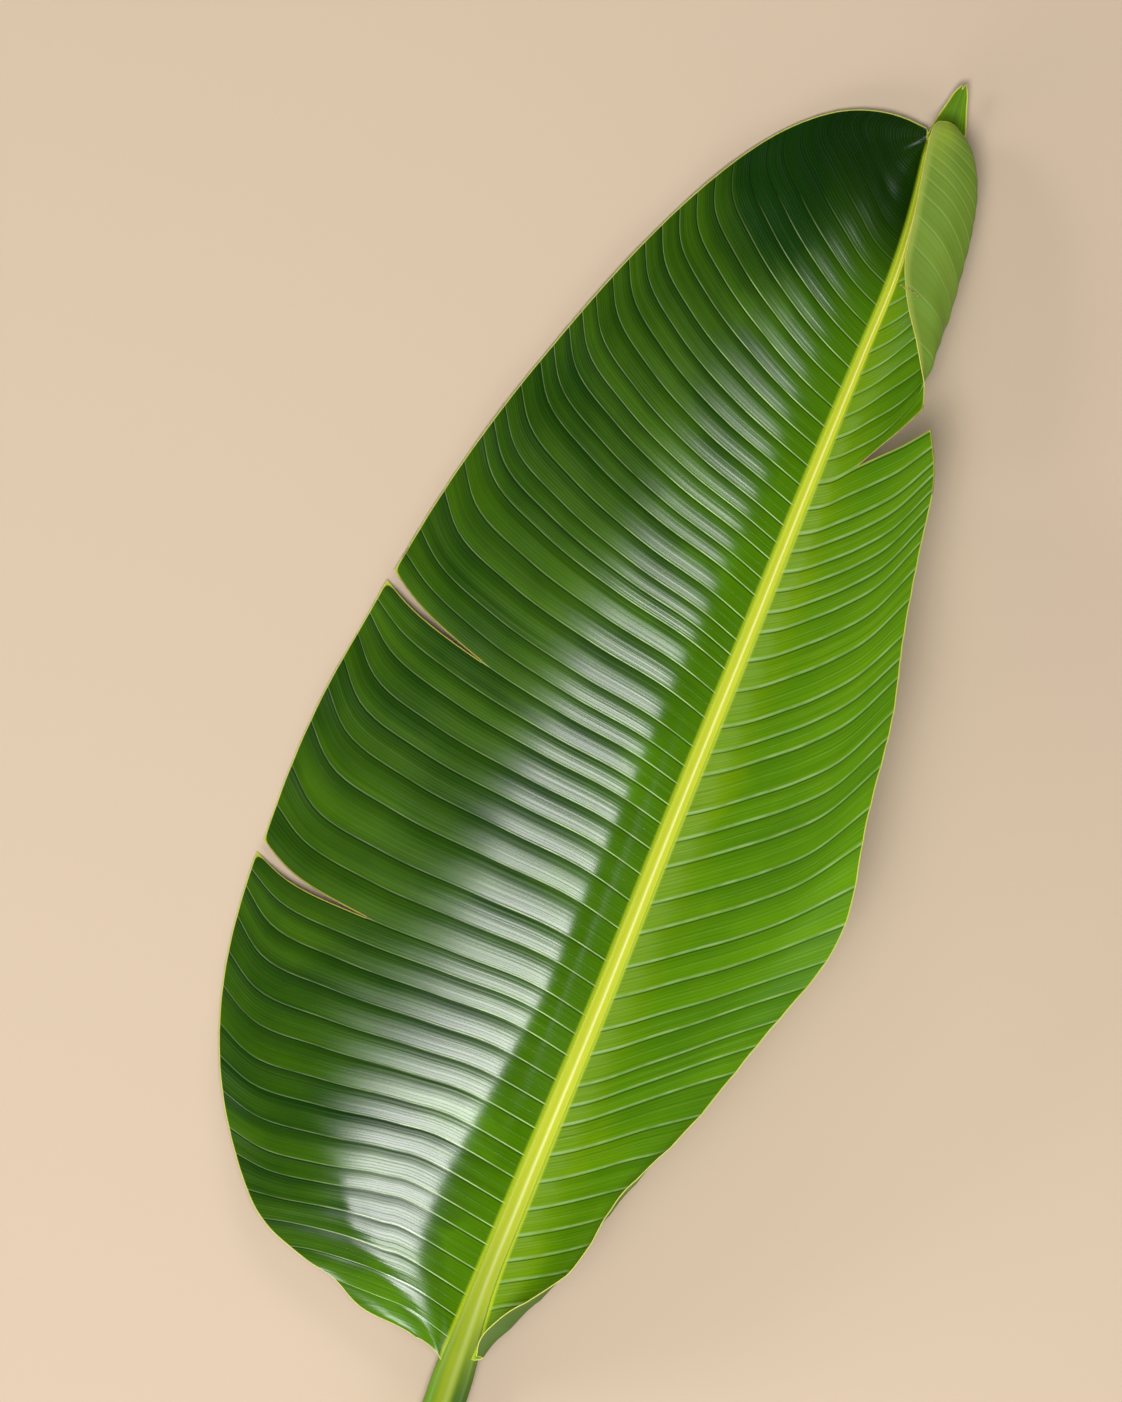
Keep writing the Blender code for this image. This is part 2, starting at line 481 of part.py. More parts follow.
def grow_together(base, other):
    """Joins a sheet to the midrib so that the leaf is one solid."""
    union = base.modifiers.new("grow " + other.name, "BOOLEAN")
    union.operation = "UNION"
    union.solver = "EXACT"
    union.material_mode = "TRANSFER"
    union.object = other


for old in list(bpy.data.objects):
    bpy.data.objects.remove(old, do_unlink=True)

rib_green = leaf_material("midrib", (0.42, 0.52, 0.03), 0.42)
face_green = leaf_material("blade face", (0.045, 0.17, 0.012), 0.30)
back_green = leaf_material("blade back", (0.20, 0.32, 0.08), 0.60)
edge_yellow = leaf_material("margin", (0.45, 0.47, 0.05), 0.50)

leaf = keel_object(rib_green)
sheets = [
    broad_half([face_green, back_green, edge_yellow]),
    narrow_half([face_green, back_green, edge_yellow]),
    tongue([face_green, back_green, edge_yellow]),
]
for part in sheets:
    grow_together(leaf, part)
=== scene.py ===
# %% [markdown]
# # A giant bird of paradise leaf, dressed for the camera
#
# The solid model of this leaf is already made. It is the frame: it says where
# everything is, in metres, with the midrib running along +Y. This lesson puts a fine, living
# surface on that frame: pleats, veins, a waxy gloss and a dry yellow edge.

# %% Load the frame
import math

import bpy
import numpy as np
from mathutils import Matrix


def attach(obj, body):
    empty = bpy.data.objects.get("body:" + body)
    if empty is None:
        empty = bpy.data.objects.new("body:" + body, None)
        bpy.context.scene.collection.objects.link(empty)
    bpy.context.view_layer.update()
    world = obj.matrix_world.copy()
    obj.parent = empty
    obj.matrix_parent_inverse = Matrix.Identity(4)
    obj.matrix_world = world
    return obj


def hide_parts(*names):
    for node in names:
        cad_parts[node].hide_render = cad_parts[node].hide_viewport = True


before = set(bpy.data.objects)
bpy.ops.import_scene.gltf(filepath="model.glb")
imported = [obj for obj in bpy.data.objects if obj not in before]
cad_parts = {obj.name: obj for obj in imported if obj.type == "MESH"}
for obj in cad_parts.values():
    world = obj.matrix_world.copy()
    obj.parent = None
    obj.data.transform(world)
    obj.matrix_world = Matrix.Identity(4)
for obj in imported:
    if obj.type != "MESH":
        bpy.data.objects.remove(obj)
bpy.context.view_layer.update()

# %% [markdown]
# ## The sizes that drive the leaf
#
# A leaf is easiest to describe in its own terms. Places along and across it are shares of the
# blade's length, so that a row of numbers reads like a tracing of one vein. Heights and widths
# are small, so they are in millimetres. Nearly all of them are the values of the solid model. A
# split is given by where it lies along the blade and how far its sides part along and across.

# %% The driving sizes
BLADE_LENGTH = 0.720
STALK_LENGTH = 0.150
SKIN = 0.0005
PLEAT_HEIGHT = 0.0010
ROOT_DEPTH = 0.0026
BROAD_SPLIT_ROOT = 0.62
NARROW_SPLIT_ROOT = 0.42
NARROW_SPLIT = 0.722
NARROW_GAP = (0.012, -0.011, -2.0)
BROAD_SPLITS = [(0.286, 0.0051, 0.0010), (0.473, 0.0045, 0.0014)]
SPLIT_REACH = 0.040

print("the blade is", BLADE_LENGTH * 1000, "mm long and its stalk", STALK_LENGTH * 1000, "mm")

# %% [markdown]
# ## The keel: stalk and midrib
#
# The stalk runs on into the blade as its midrib, thinner and flatter toward the apex. A bent tube
# could stand in for it, but not with a flat keel and a channel. So each row is one slice: how far
# along, how far to the side, how wide, its top and bottom, and how deep its channel is.

# %% Slices of the keel
KEEL = [
    (-0.210, 0.0052, 21.0, 20.0, 0.0, 3.4),
    (-0.100, 0.0050, 21.2, 19.5, 0.0, 3.2),
    (-0.030, 0.0044, 22.4, 18.5, 0.0, 2.8),
    (0.000, 0.0032, 22.0, 17.5, 0.0, 2.2),
    (0.030, 0.0020, 18.0, 16.5, 0.0, 1.6),
    (0.060, 0.0008, 14.6, 15.8, 0.0, 1.2),
    (0.140, 0.0020, 13.0, 14.8, 0.0, 1.0),
    (0.300, 0.0062, 11.6, 13.6, 0.0, 0.9),
    (0.450, 0.0082, 10.6, 12.6, 0.0, 0.8),
    (0.600, 0.0112, 9.4, 11.4, 0.0, 0.7),
    (0.720, 0.0130, 8.0, 10.4, 0.4, 0.6),
    (0.824, 0.0155, 6.6, 9.4, 1.2, 0.5),
    (0.900, 0.0168, 5.4, 8.6, 1.9, 0.4),
    (0.951, 0.0120, 4.4, 7.6, 2.4, 0.3),
    (1.000, 0.0030, 3.2, 6.4, 2.6, 0.2),
]
print(len(KEEL), "slices, from", KEEL[0][2], "mm wide to", KEEL[-1][2], "mm")

# %% [markdown]
# ## The veins of the two halves
#
# Veins are the natural lines to build a leaf on, since the blade folds, pleats and tears along
# them. Curves drawn by hand would do too, but a table is easier to check. Each row is one vein: it
# starts where the vein leaves the midrib and follows it to the margin. At each knot it says how
# far along and across the leaf the vein is, in ten-thousandths of the blade's length, and how
# high, in tenths of a millimetre. The broad half lies nearly flat.

# %% Veins of the broad half
SHARE_UNITS = 10000
HEIGHT_UNITS = 10


def vein_table(text):
    """Reads rows of a start, then along, across and height for each point of a vein."""
    rows = [[int(word) for word in line.split()] for line in text.strip().splitlines()]
    starts = np.array([row[0] for row in rows]) / SHARE_UNITS
    points = np.array([row[1:] for row in rows]).reshape(len(rows), -1, 3)
    return starts, points / (SHARE_UNITS, SHARE_UNITS, HEIGHT_UNITS)


BROAD_KNOTS = (0.0, 0.12, 0.37, 0.66, 0.88, 1.0)
BROAD_VEINS = vein_table("""
0  10 -100 172  30 -120 175  45 -140 176  55 -155 174  58 -162 172
60  100 -125 179  140 -195 182  165 -275 178  174 -345 170  169 -376 164
130  175 -180 186  245 -340 194  248 -540 174  218 -685 144  190 -752 130
240  285 -225 198  345 -455 212  350 -765 186  368 -1010 168  390 -1109 162
360  420 -255 210  490 -580 226  500 -980 194  462 -1300 168  416 -1429 144
500  600 -480 232  612 -800 238  605 -1150 212  560 -1525 172  520 -1672 152
760  856 -550 244  866 -900 249  829 -1287 224  739 -1690 154  702 -1893 114
1000  1098 -580 252  1094 -980 254  991 -1419 222  927 -1868 107  969 -2113 70
1280  1380 -570 255  1374 -1040 256  1276 -1566 218  1235 -2069 99  1307 -2334 64
1600  1692 -520 256  1682 -1060 254  1594 -1691 208  1566 -2238 85  1681 -2511 42
2120  2196 -450 255  2190 -1060 249  2138 -1829 186  2164 -2425 69  2340 -2693 25
2500  2585 -400 253  2590 -1070 245  2569 -1884 169  2638 -2499 62  2854 -2748 18
2860  2942 -350 249  2962 -1060 242  2968 -1870 158  3045 -2480 60  3151 -2750 16
3300  3383 -345 243  3428 -1063 238  3475 -1896 148  3612 -2511 55  3848 -2753 17
3700  3799 -336 235  3874 -1053 233  3961 -1886 142  4141 -2494 54  4388 -2723 18
4200  4292 -324 228  4374 -1027 228  4494 -1840 140  4694 -2430 55  4947 -2642 20
4730  4823 -302 216  4924 -983 221  5085 -1745 143  5285 -2320 62  5416 -2565 26
5300  5407 -275 201  5532 -935 213  5728 -1689 141  5978 -2223 66  6233 -2408 34
5900  6014 -241 189  6168 -864 202  6417 -1565 136  6698 -2055 69  6950 -2220 40
6530  6637 -209 171  6812 -784 188  7095 -1420 132  7394 -1856 69  7644 -1992 42
7180  7277 -173 157  7470 -691 173  7779 -1251 126  8095 -1619 68  8331 -1735 41
7700  7794 -133 140  8019 -588 163  8336 -1083 122  8645 -1405 68  8872 -1490 39
8220  8320 -81 123  8546 -470 150  8868 -880 109  9158 -1148 66  9365 -1204 35
8740  8820 -26 103  9026 -334 132  9304 -661 92  9545 -881 56  9720 -910 32
9200  9259 3 92  9442 -204 112  9662 -439 76  9838 -607 46  9954 -580 32
9550  9620 -80 96  9730 -220 82  9840 -300 70  9940 -310 60  10035 -270 52
9900  9930 32 72  9955 24 62  9980 12 54  10005 4 48  10020 -6 44
""")
print(len(BROAD_VEINS[0]), "traced veins on the broad half")

# %% [markdown]
# The narrow half stands up beside the midrib like a wall, so the camera sees it foreshortened. Its
# heights are chosen so that both halves are about equally wide, and its margin turns in at the base.

# %% Veins of the narrow half, below its split
NARROW_KNOTS = (0.0, 0.2, 0.4, 0.6, 0.8, 1.0)
NARROW_VEINS = vein_table("""
120  140 115 164  160 150 178  180 180 206  200 185 244  200 140 270
220  230 125 166  270 180 196  310 220 250  330 205 300  310 115 320
400  460 155 172  520 255 226  570 345 320  590 330 410  550 190 450
570  640 185 184  720 315 260  790 420 380  840 465 490  770 375 550
760  840 205 190  930 360 280  1010 480 410  1070 560 540  1050 580 630
1000  1090 225 196  1200 390 300  1310 530 450  1400 625 590  1460 645 710
1220  1320 240 200  1440 420 320  1560 580 480  1680 715 640  1740 695 760
1400  1510 260 204  1650 450 330  1800 635 500  1930 800 670  1990 815 790
1650  1770 270 208  1930 480 350  2100 680 530  2240 870 700  2320 970 840
2160  2300 290 210  2500 510 370  2710 740 570  2930 980 760  3150 1240 930
2940  3080 310 210  3270 550 380  3480 820 600  3740 1120 820  4100 1525 1040
3720  3870 330 206  4060 580 380  4280 850 610  4560 1130 840  5000 1395 1060
4500  4640 330 196  4830 570 370  5060 845 590  5340 1090 810  5800 1300 1020
5150  5270 330 186  5440 540 340  5650 770 550  5920 990 760  6300 1180 950
5920  6020 320 174  6170 500 310  6350 690 490  6600 890 680  7000 1055 850
6570  6660 310 160  6790 470 280  6950 640 430  7170 815 600  7520 975 750
7220  7300 290 144  7430 405 230  7560 530 340  7700 670 470  7880 820 600
""")
print(len(NARROW_VEINS[0]), "traced veins below the split of the narrow half")

# %% [markdown]
# Above its split the narrow half was never quite unrolled. Its veins climb, turn over, and come
# back to lie above the midrib, so here the back of the leaf faces up.

# %% Veins of the rolled part, and the tongue at the apex
ROLL_KNOTS = (0.0, 1 / 6, 2 / 6, 3 / 6, 4 / 6, 5 / 6, 1.0)
ROLL_VEINS = vein_table("""
7480  7550 280 130  7640 380 200  7750 480 280  7870 560 360  8020 625 430  8175 665 490
7620  7700 290 130  7810 400 200  7950 510 280  8100 610 370  8240 675 470  8270 615 540
7760  7850 300 130  7980 420 200  8140 540 290  8320 650 390  8450 665 500  8480 475 570
7920  8030 320 130  8190 450 200  8390 580 290  8580 665 400  8690 560 520  8710 310 550
8060  8180 330 130  8360 470 200  8570 600 290  8760 655 400  8890 490 500  8930 200 500
8300  8430 340 125  8610 470 190  8820 600 270  9020 625 380  9160 440 460  9210 160 440
8600  8740 340 120  8920 460 180  9120 585 260  9310 590 360  9450 390 420  9490 110 390
8900  9030 330 110  9190 440 160  9360 560 240  9520 550 330  9650 340 380  9700 75 350
9200  9310 290 100  9440 400 150  9580 515 220  9710 500 300  9810 290 340  9850 50 310
9500  9590 230 92  9690 330 130  9800 435 190  9890 415 260  9950 240 290  9970 35 270
9800  9850 160 84  9910 240 114  9980 325 160  10030 300 210  10060 175 240  10050 40 230
9980  10010 110 82  10040 160 100  10080 205 130  10100 190 170  10110 125 190  10090 60 190
""")
TONGUE = [
    (0.984, 0.0055, 0.0095, 4.6),
    (0.996, 0.0020, 0.0210, 4.8),
    (1.005, 0.0025, 0.0285, 5.0),
    (1.015, 0.0045, 0.0262, 5.6),
    (1.026, 0.0072, 0.0225, 6.4),
    (1.036, 0.0098, 0.0192, 7.4),
    (1.0405, 0.0122, 0.0168, 8.0),
]
print(len(ROLL_VEINS[0]), "veins roll over, and the tongue ends", TONGUE[-1][0], "blade lengths out")


# %% [markdown]
# ## From traced veins to a smooth surface
#
# Blender's own surfaces only come near their points, and this leaf has to pass through them. So
# this curve takes each slope from the neighbouring points. A steady one also never swings past
# them, which keeps the broad half free of false ridges.

# %% The curve through given values
def smooth(knots, values, wanted, steady=False):
    """Passes a smooth curve, steady or free, through the values at the knots."""
    knots = np.asarray(knots, dtype=float)
    values = np.asarray(values, dtype=float)
    wanted = np.clip(np.asarray(wanted, dtype=float), knots[0], knots[-1])
    steps = np.diff(knots)
    spread = (-1,) + (1,) * (values.ndim - 1)
    chords = np.diff(values, axis=0) / steps.reshape(spread)
    slopes = np.empty_like(values)
    slopes[0] = chords[0]
    slopes[-1] = chords[-1]
    before = steps[:-1].reshape(spread)
    after = steps[1:].reshape(spread)
    slopes[1:-1] = (chords[:-1] * after + chords[1:] * before) / (before + after)
    if steady:
        agree = chords[:-1] * chords[1:] > 0
        limit = 3 * np.minimum(np.abs(chords[:-1]), np.abs(chords[1:])) * agree
        slopes[1:-1] = np.clip(slopes[1:-1], -limit, limit)
    span = np.clip(np.searchsorted(knots, wanted, side="right") - 1, 0, len(steps) - 1)
    step = steps[span].reshape(spread)
    part = ((wanted - knots[span]) / steps[span]).reshape(spread)
    start = values[span] * (1 + 2 * part) * (1 - part) ** 2
    leave = slopes[span] * step * part * (1 - part) ** 2
    end = values[span + 1] * part ** 2 * (3 - 2 * part)
    arrive = slopes[span + 1] * step * part ** 2 * (part - 1)
    return start + leave + end + arrive


print("halfway along a ramp of 0 to 1:", smooth([0, 1, 2], [0.0, 0.5, 1.0], [1.0])[0])


# %% [markdown]
# Two such curves in a row make a surface: first every point of a vein is carried smoothly from
# one vein to the next, then each new vein is smoothed across its own points. The veins start a
# little inside the midrib, so that no gap shows there.

# %% Reading the keel and spanning the veins
VEIN_START_DEPTH = 0.0016


def keel_at(stations):
    """Gives the keel's sideways place, width, top, bottom and channel depth, in metres."""
    rows = np.array(KEEL)
    found = smooth(rows[:, 0], rows[:, 1:], stations)
    found[:, 0] *= BLADE_LENGTH
    found[:, 1:] /= 1000.0
    found[:, 3] = np.maximum(found[:, 3], 0.0)
    return found


def vein_points(table, side):
    """Turns a table of veins into metres, each one starting inside the midrib."""
    starts, points = table
    place = keel_at(starts)
    root = np.empty((len(starts), 1, 3))
    root[:, 0, 0] = place[:, 0] + side * (place[:, 1] / 2 - ROOT_DEPTH)
    root[:, 0, 1] = starts * BLADE_LENGTH
    root[:, 0, 2] = place[:, 2] - VEIN_START_DEPTH
    body = points[:, :, [1, 0, 2]] * (BLADE_LENGTH, BLADE_LENGTH, 1.0) / (1.0, 1.0, 1000.0)
    return starts, np.concatenate([root, body], axis=1)


def span_veins(starts, veins, knots, stations, shares, steady=False):
    """Spans the smooth surface through the veins, read at the stations and shares of width."""
    along = smooth(starts, veins, stations)
    across = smooth(knots, along.transpose(1, 0, 2), shares)
    if steady:
        across[:, :, 2] = smooth(knots, along[:, :, 2].T, shares, steady=True)
    return across.transpose(1, 0, 2)


print("at 30 % of its length the midrib is", round(keel_at([0.3])[0, 1] * 1000, 1), "mm wide")


# %% [markdown]
# ## Relaxing the surface
#
# A glossy leaf shows every small change of curvature, because a reflection bends twice as fast
# as the surface does. Averaging each point with its neighbours takes such changes out, and unlike
# a smoothing modifier it can leave the ends and torn edges where they are.

# %% Averaging along the leaf
def relaxed(grid, stations, reach, pinned):
    """Averages the surface along the leaf, less and less close to the pinned stations."""
    gaps = (stations[:, None] - stations[None, :]) / reach
    weights = np.exp(-0.5 * gaps ** 2) * np.gradient(stations)[None, :]
    weights /= weights.sum(axis=1, keepdims=True)
    averaged = (weights @ grid.reshape(len(stations), -1)).reshape(grid.shape)
    hold = np.ones(len(stations))
    for station in pinned:
        hold = np.minimum(hold, np.clip(np.abs(stations - station) / (2.5 * reach), 0.0, 1.0))
    return grid + (averaged - grid) * hold[:, None, None]


def facing_of(grid, turned):
    """Finds which way the surface faces at each of its points."""
    downstream = np.gradient(grid, axis=0)
    outward = np.gradient(grid, axis=1)
    facing = np.cross(outward, downstream) * turned
    size = np.linalg.norm(facing, axis=2, keepdims=True)
    return facing / np.maximum(size, 1e-9)


BROAD_REACH = 0.012
print("the broad half is relaxed over", round(BROAD_REACH * BLADE_LENGTH * 1000, 1), "mm")


# %% [markdown]
# ## Pleats
#
# Between two strong veins the blade arches like a shingle: it climbs slowly from the vein on the
# stalk side and drops quickly to the vein on the apex side. Along each crease runs the vein
# itself, a fine raised cord. The arch ripples four times, so three weaker veins lie in the dips
# between. A bump in the finish would look flat from the side, so all this is made in the mesh.

# %% Creases, rows and the arch
BROAD_CREASES = np.array([
    50, 220, 400, 580, 780, 987, 1126, 1325, 1530, 1714, 1933, 2128, 2327, 2531, 2701, 2860, 3089,
    3298, 3557, 3782, 3996, 4200, 4405, 4559, 4730, 4873, 5032, 5266, 5466, 5660, 5775, 5894,
    6059, 6258, 6393, 6552, 6687, 6826, 6995, 7155, 7310, 7470, 7630, 7790, 7950, 8110, 8280,
    8450, 8620, 8800, 8980, 9170, 9370, 9570, 9760, 9960,
]) / SHARE_UNITS
NARROW_CREASES = np.array([
    120, 320, 530, 745, 920, 1120, 1333, 1555, 1773, 2010, 2166, 2332, 2588, 2787, 3047, 3293,
    3568, 3810, 4103, 4317, 4530, 4847, 5032, 5240, 5534, 5780, 6007, 6168, 6344, 6495, 6661,
    6803, 7010, 7220, 7400, 7570, 7740, 7910, 8080, 8260, 8440, 8630, 8820, 9020, 9220, 9430,
    9620, 9800, 9960,
]) / SHARE_UNITS
PHASES = np.concatenate([[0.0, 0.03, 0.07], np.arange(2, 15) / 16, [0.93, 0.97]])
RIPPLES = 4
PLEAT_SLOPE = 0.036
ARCH_PEAK = 0.385
RIPPLE_HEIGHT = 0.00005
CORD_HEIGHT = 0.00016
CORD_WIDTH = 0.00040


def pleat_rows(creases):
    """Lists every row's station, how far through its pleat it lies, and that pleat's number."""
    stations = creases[:-1, None] + np.diff(creases)[:, None] * PHASES
    pleats = np.repeat(np.arange(len(creases) - 1), len(PHASES))
    return (np.append(stations, creases[-1]), np.append(np.tile(PHASES, len(creases) - 1), 0.0),
            np.append(pleats, len(creases) - 2))


def pleat_lift(phases, pitch):
    """Gives the height of the pleated skin above the smooth surface, in metres."""
    arch = (phases - phases ** 3) / ARCH_PEAK
    ripple = 0.5 - 0.5 * np.cos(2 * np.pi * RIPPLES * phases)
    from_crease = np.minimum(phases, 1 - phases)[:, None] * pitch
    cord = np.exp(-(from_crease / CORD_WIDTH) ** 2)
    rise = np.minimum(PLEAT_HEIGHT, PLEAT_SLOPE * pitch)
    return rise * arch[:, None] + RIPPLE_HEIGHT * ripple[:, None] + CORD_HEIGHT * cord


print("broad half: pleats of", round(np.diff(BROAD_CREASES).min() * BLADE_LENGTH * 1000, 1), "to",
      round(np.diff(BROAD_CREASES).max() * BLADE_LENGTH * 1000, 1), "mm")


# %% [markdown]
# The pleats fade toward the midrib, where the tissue is thick, and toward the apex. At the same
# time every point gets notes, such as how far it lies from the nearest vein. A finish can read
# them, so its lines follow the real veins. An image could not be laid out as exactly.

# %% Pleating a sheet and noting what each point is
TONES = 80


def pitch_of(grid, phases):
    """Measures, at every point, how wide its pleat is there."""
    rows = np.flatnonzero(phases == 0.0)
    pitch = np.empty(grid.shape[:2])
    for low, high in zip(rows[:-1], rows[1:]):
        pitch[low:high] = np.linalg.norm(grid[high] - grid[low], axis=1)
    pitch[rows[-1]:] = pitch[rows[-1] - 1]
    return pitch


def pleated(grid, stations, phases, shares, turned):
    """Raises the pleats off the smooth surface, least at the midrib and near the apex."""
    pitch = pitch_of(grid, phases)
    inner = np.clip((shares - 0.02) / 0.14, 0.0, 1.0)
    outer = 1.0 - 0.45 * np.clip((shares - 0.7) / 0.3, 0.0, 1.0)
    ends = np.clip((1.0 - stations) / 0.14, 0.15, 1.0) * np.clip(stations / 0.05, 0.15, 1.0)
    fade = ends[:, None] * (inner * outer)[None, :]
    return grid + facing_of(grid, turned) * (pleat_lift(phases, pitch) * fade)[:, :, None], pitch


def notes_for(grid, stations, phases, pleats, pitch, seed):
    """Notes each point's place, its nearness to veins and edge, and a tone for its pleat."""
    tones = np.random.default_rng(seed).uniform(0.0, 1.0, TONES)
    steps = np.linalg.norm(np.diff(grid, axis=1), axis=2)
    reach = np.concatenate([np.zeros((len(grid), 1)), np.cumsum(steps, axis=1)], axis=1)
    nearer = np.where(phases < 0.5, phases, phases - 1.0)
    weak = np.abs((phases * RIPPLES + 0.5) % 1.0 - 0.5) / RIPPLES
    rows = {"along": stations * BLADE_LENGTH, "tone": tones[pleats], "count": pleats + phases}
    notes = {key: np.repeat(value[:, None], grid.shape[1], axis=1) for key, value in rows.items()}
    return {**notes, "reach": reach, "edge": reach[:, -1:] - reach,
            "crease": nearer[:, None] * pitch, "weak_vein": weak[:, None] * pitch}


# %% [markdown]
# ## From a grid to a skin with two faces
#
# A real blade has a glossy face, a dull back and an edge between them. Copying the grid half the
# skin's thickness to either side, and joining the free edges with a rim, gives a closed piece
# whose two faces can have different finishes.

# %% Building the skin
def made_object(name, points, faces, finishes, notes=(), sharp_angle=None, kinds=None):
    """Makes a smooth object whose notes, numbers at its points, are there for its finish."""
    mesh = bpy.data.meshes.new(name)
    mesh.from_pydata(points.tolist(), [], faces)
    mesh.polygons.foreach_set("use_smooth", [True] * len(faces))
    if kinds is not None:
        mesh.polygons.foreach_set("material_index", kinds.tolist())
    for note, values in dict(notes).items():
        layer = mesh.attributes.new(note, "FLOAT", "POINT")
        layer.data.foreach_set("value", values.astype(np.float32))
    if sharp_angle:
        mesh.set_sharp_from_angle(angle=math.radians(sharp_angle))
    for finish in finishes:
        mesh.materials.append(finish)
    mesh.update()
    piece = bpy.data.objects.new(name, mesh)
    bpy.context.collection.objects.link(piece)
    print(name, "has", len(faces), "faces")
    return piece


def skin_piece(name, panels, turned, finishes):
    """Makes one closed piece from panels that share the first columns of their common rows."""
    points, facings, quads, noted = [], [], [], {}
    count = 0
    last_row = None
    for grid, notes, shared in panels:
        rows, columns = grid.shape[:2]
        index = count + np.arange(rows * columns).reshape(rows, columns)
        count += rows * columns
        points.append(grid.reshape(-1, 3))
        facings.append(facing_of(grid, turned).reshape(-1, 3))
        for key, value in notes.items():
            noted.setdefault(key, []).append(value.reshape(-1))
        if last_row is not None:
            index[0, :shared] = last_row[:shared]
        last_row = index[-1]
        quad = np.stack([index[:-1, :-1], index[:-1, 1:], index[1:, 1:], index[1:, :-1]], axis=-1)
        quads.append(quad.reshape(-1, 4))
    quads = np.concatenate(quads)
    if turned < 0:
        quads = quads[:, ::-1]
    used = np.unique(quads)
    renumber = np.full(count, -1)
    renumber[used] = np.arange(len(used))
    quads = renumber[quads]
    points = np.concatenate(points)[used]
    half_skin = np.concatenate(facings)[used] * SKIN / 2
    total = len(points)
    starts = quads.reshape(-1)
    ends = np.roll(quads, -1, axis=1).reshape(-1)
    key = np.minimum(starts, ends) * total + np.maximum(starts, ends)
    _, first, times = np.unique(key, return_index=True, return_counts=True)
    free = first[times == 1]
    rim = np.stack([ends[free], starts[free], starts[free] + total, ends[free] + total], axis=1)
    faces = np.concatenate([quads, quads[:, ::-1] + total, rim])
    kinds = np.repeat([0, 1, 2], [len(quads), len(quads), len(rim)])
    notes = {note: np.tile(np.concatenate(parts)[used], 2) for note, parts in noted.items()}
    piece = made_object(name, np.concatenate([points + half_skin, points - half_skin]),
                        faces.tolist(), finishes, notes, SKIN_SHARP_ANGLE, kinds)
    return piece, points, np.stack([starts[free], ends[free]], axis=1)


SKIN_SHARP_ANGLE = 60
print("the skin is", SKIN * 1000, "mm thick")


# %% [markdown]
# ## Shader arithmetic
#
# A finish is easiest to read as a formula. This small class wraps a node's output socket, so that
# adding or multiplying two of them adds the Math node for it. Every other node is made by one
# method, which sets the node's own settings first and then its sockets. The alternative, wiring
# nodes by hand in the editor, can't be read in a script.

# %% Sockets that can be added and multiplied
def operator(operation, reflected=False):
    """Makes a method that adds a Math node, with the amount second if it is reflected."""
    def method(self, other):
        return self.finish.math(operation, *((other, self) if reflected else (self, other)))
    return method


class Amount:
    """A number that varies over the surface: the output socket of a node in a finish."""

    __add__ = operator("ADD")
    __sub__ = operator("SUBTRACT")
    __mul__ = operator("MULTIPLY")
    __truediv__ = operator("DIVIDE")
    __radd__ = operator("ADD", reflected=True)
    __rsub__ = operator("SUBTRACT", reflected=True)
    __rmul__ = operator("MULTIPLY", reflected=True)

    def __init__(self, finish, socket):
        self.finish = finish
        self.socket = socket

    def size(self):
        """Drops the sign."""
        return self.finish.math("ABSOLUTE", self)

    def clamped(self):
        """Keeps the amount between 0 and 1."""
        return self.finish.math("ADD", self, 0.0, clamp=True)

    def between(self, low, high):
        """Rises smoothly from 0 at low to 1 at high."""
        return self.finish.node("ShaderNodeMapRange", {"interpolation_type": "SMOOTHSTEP"},
                                {"Value": self, "From Min": low, "From Max": high}, "Result")

    def under(self, low, high):
        """Falls smoothly from 1 at low to 0 at high."""
        return 1.0 - self.between(low, high)

    def line(self, width, low, high):
        """Draws a soft line where the amount is near 0; low and high are shares of its width."""
        return (self.size() / width).under(low, high)


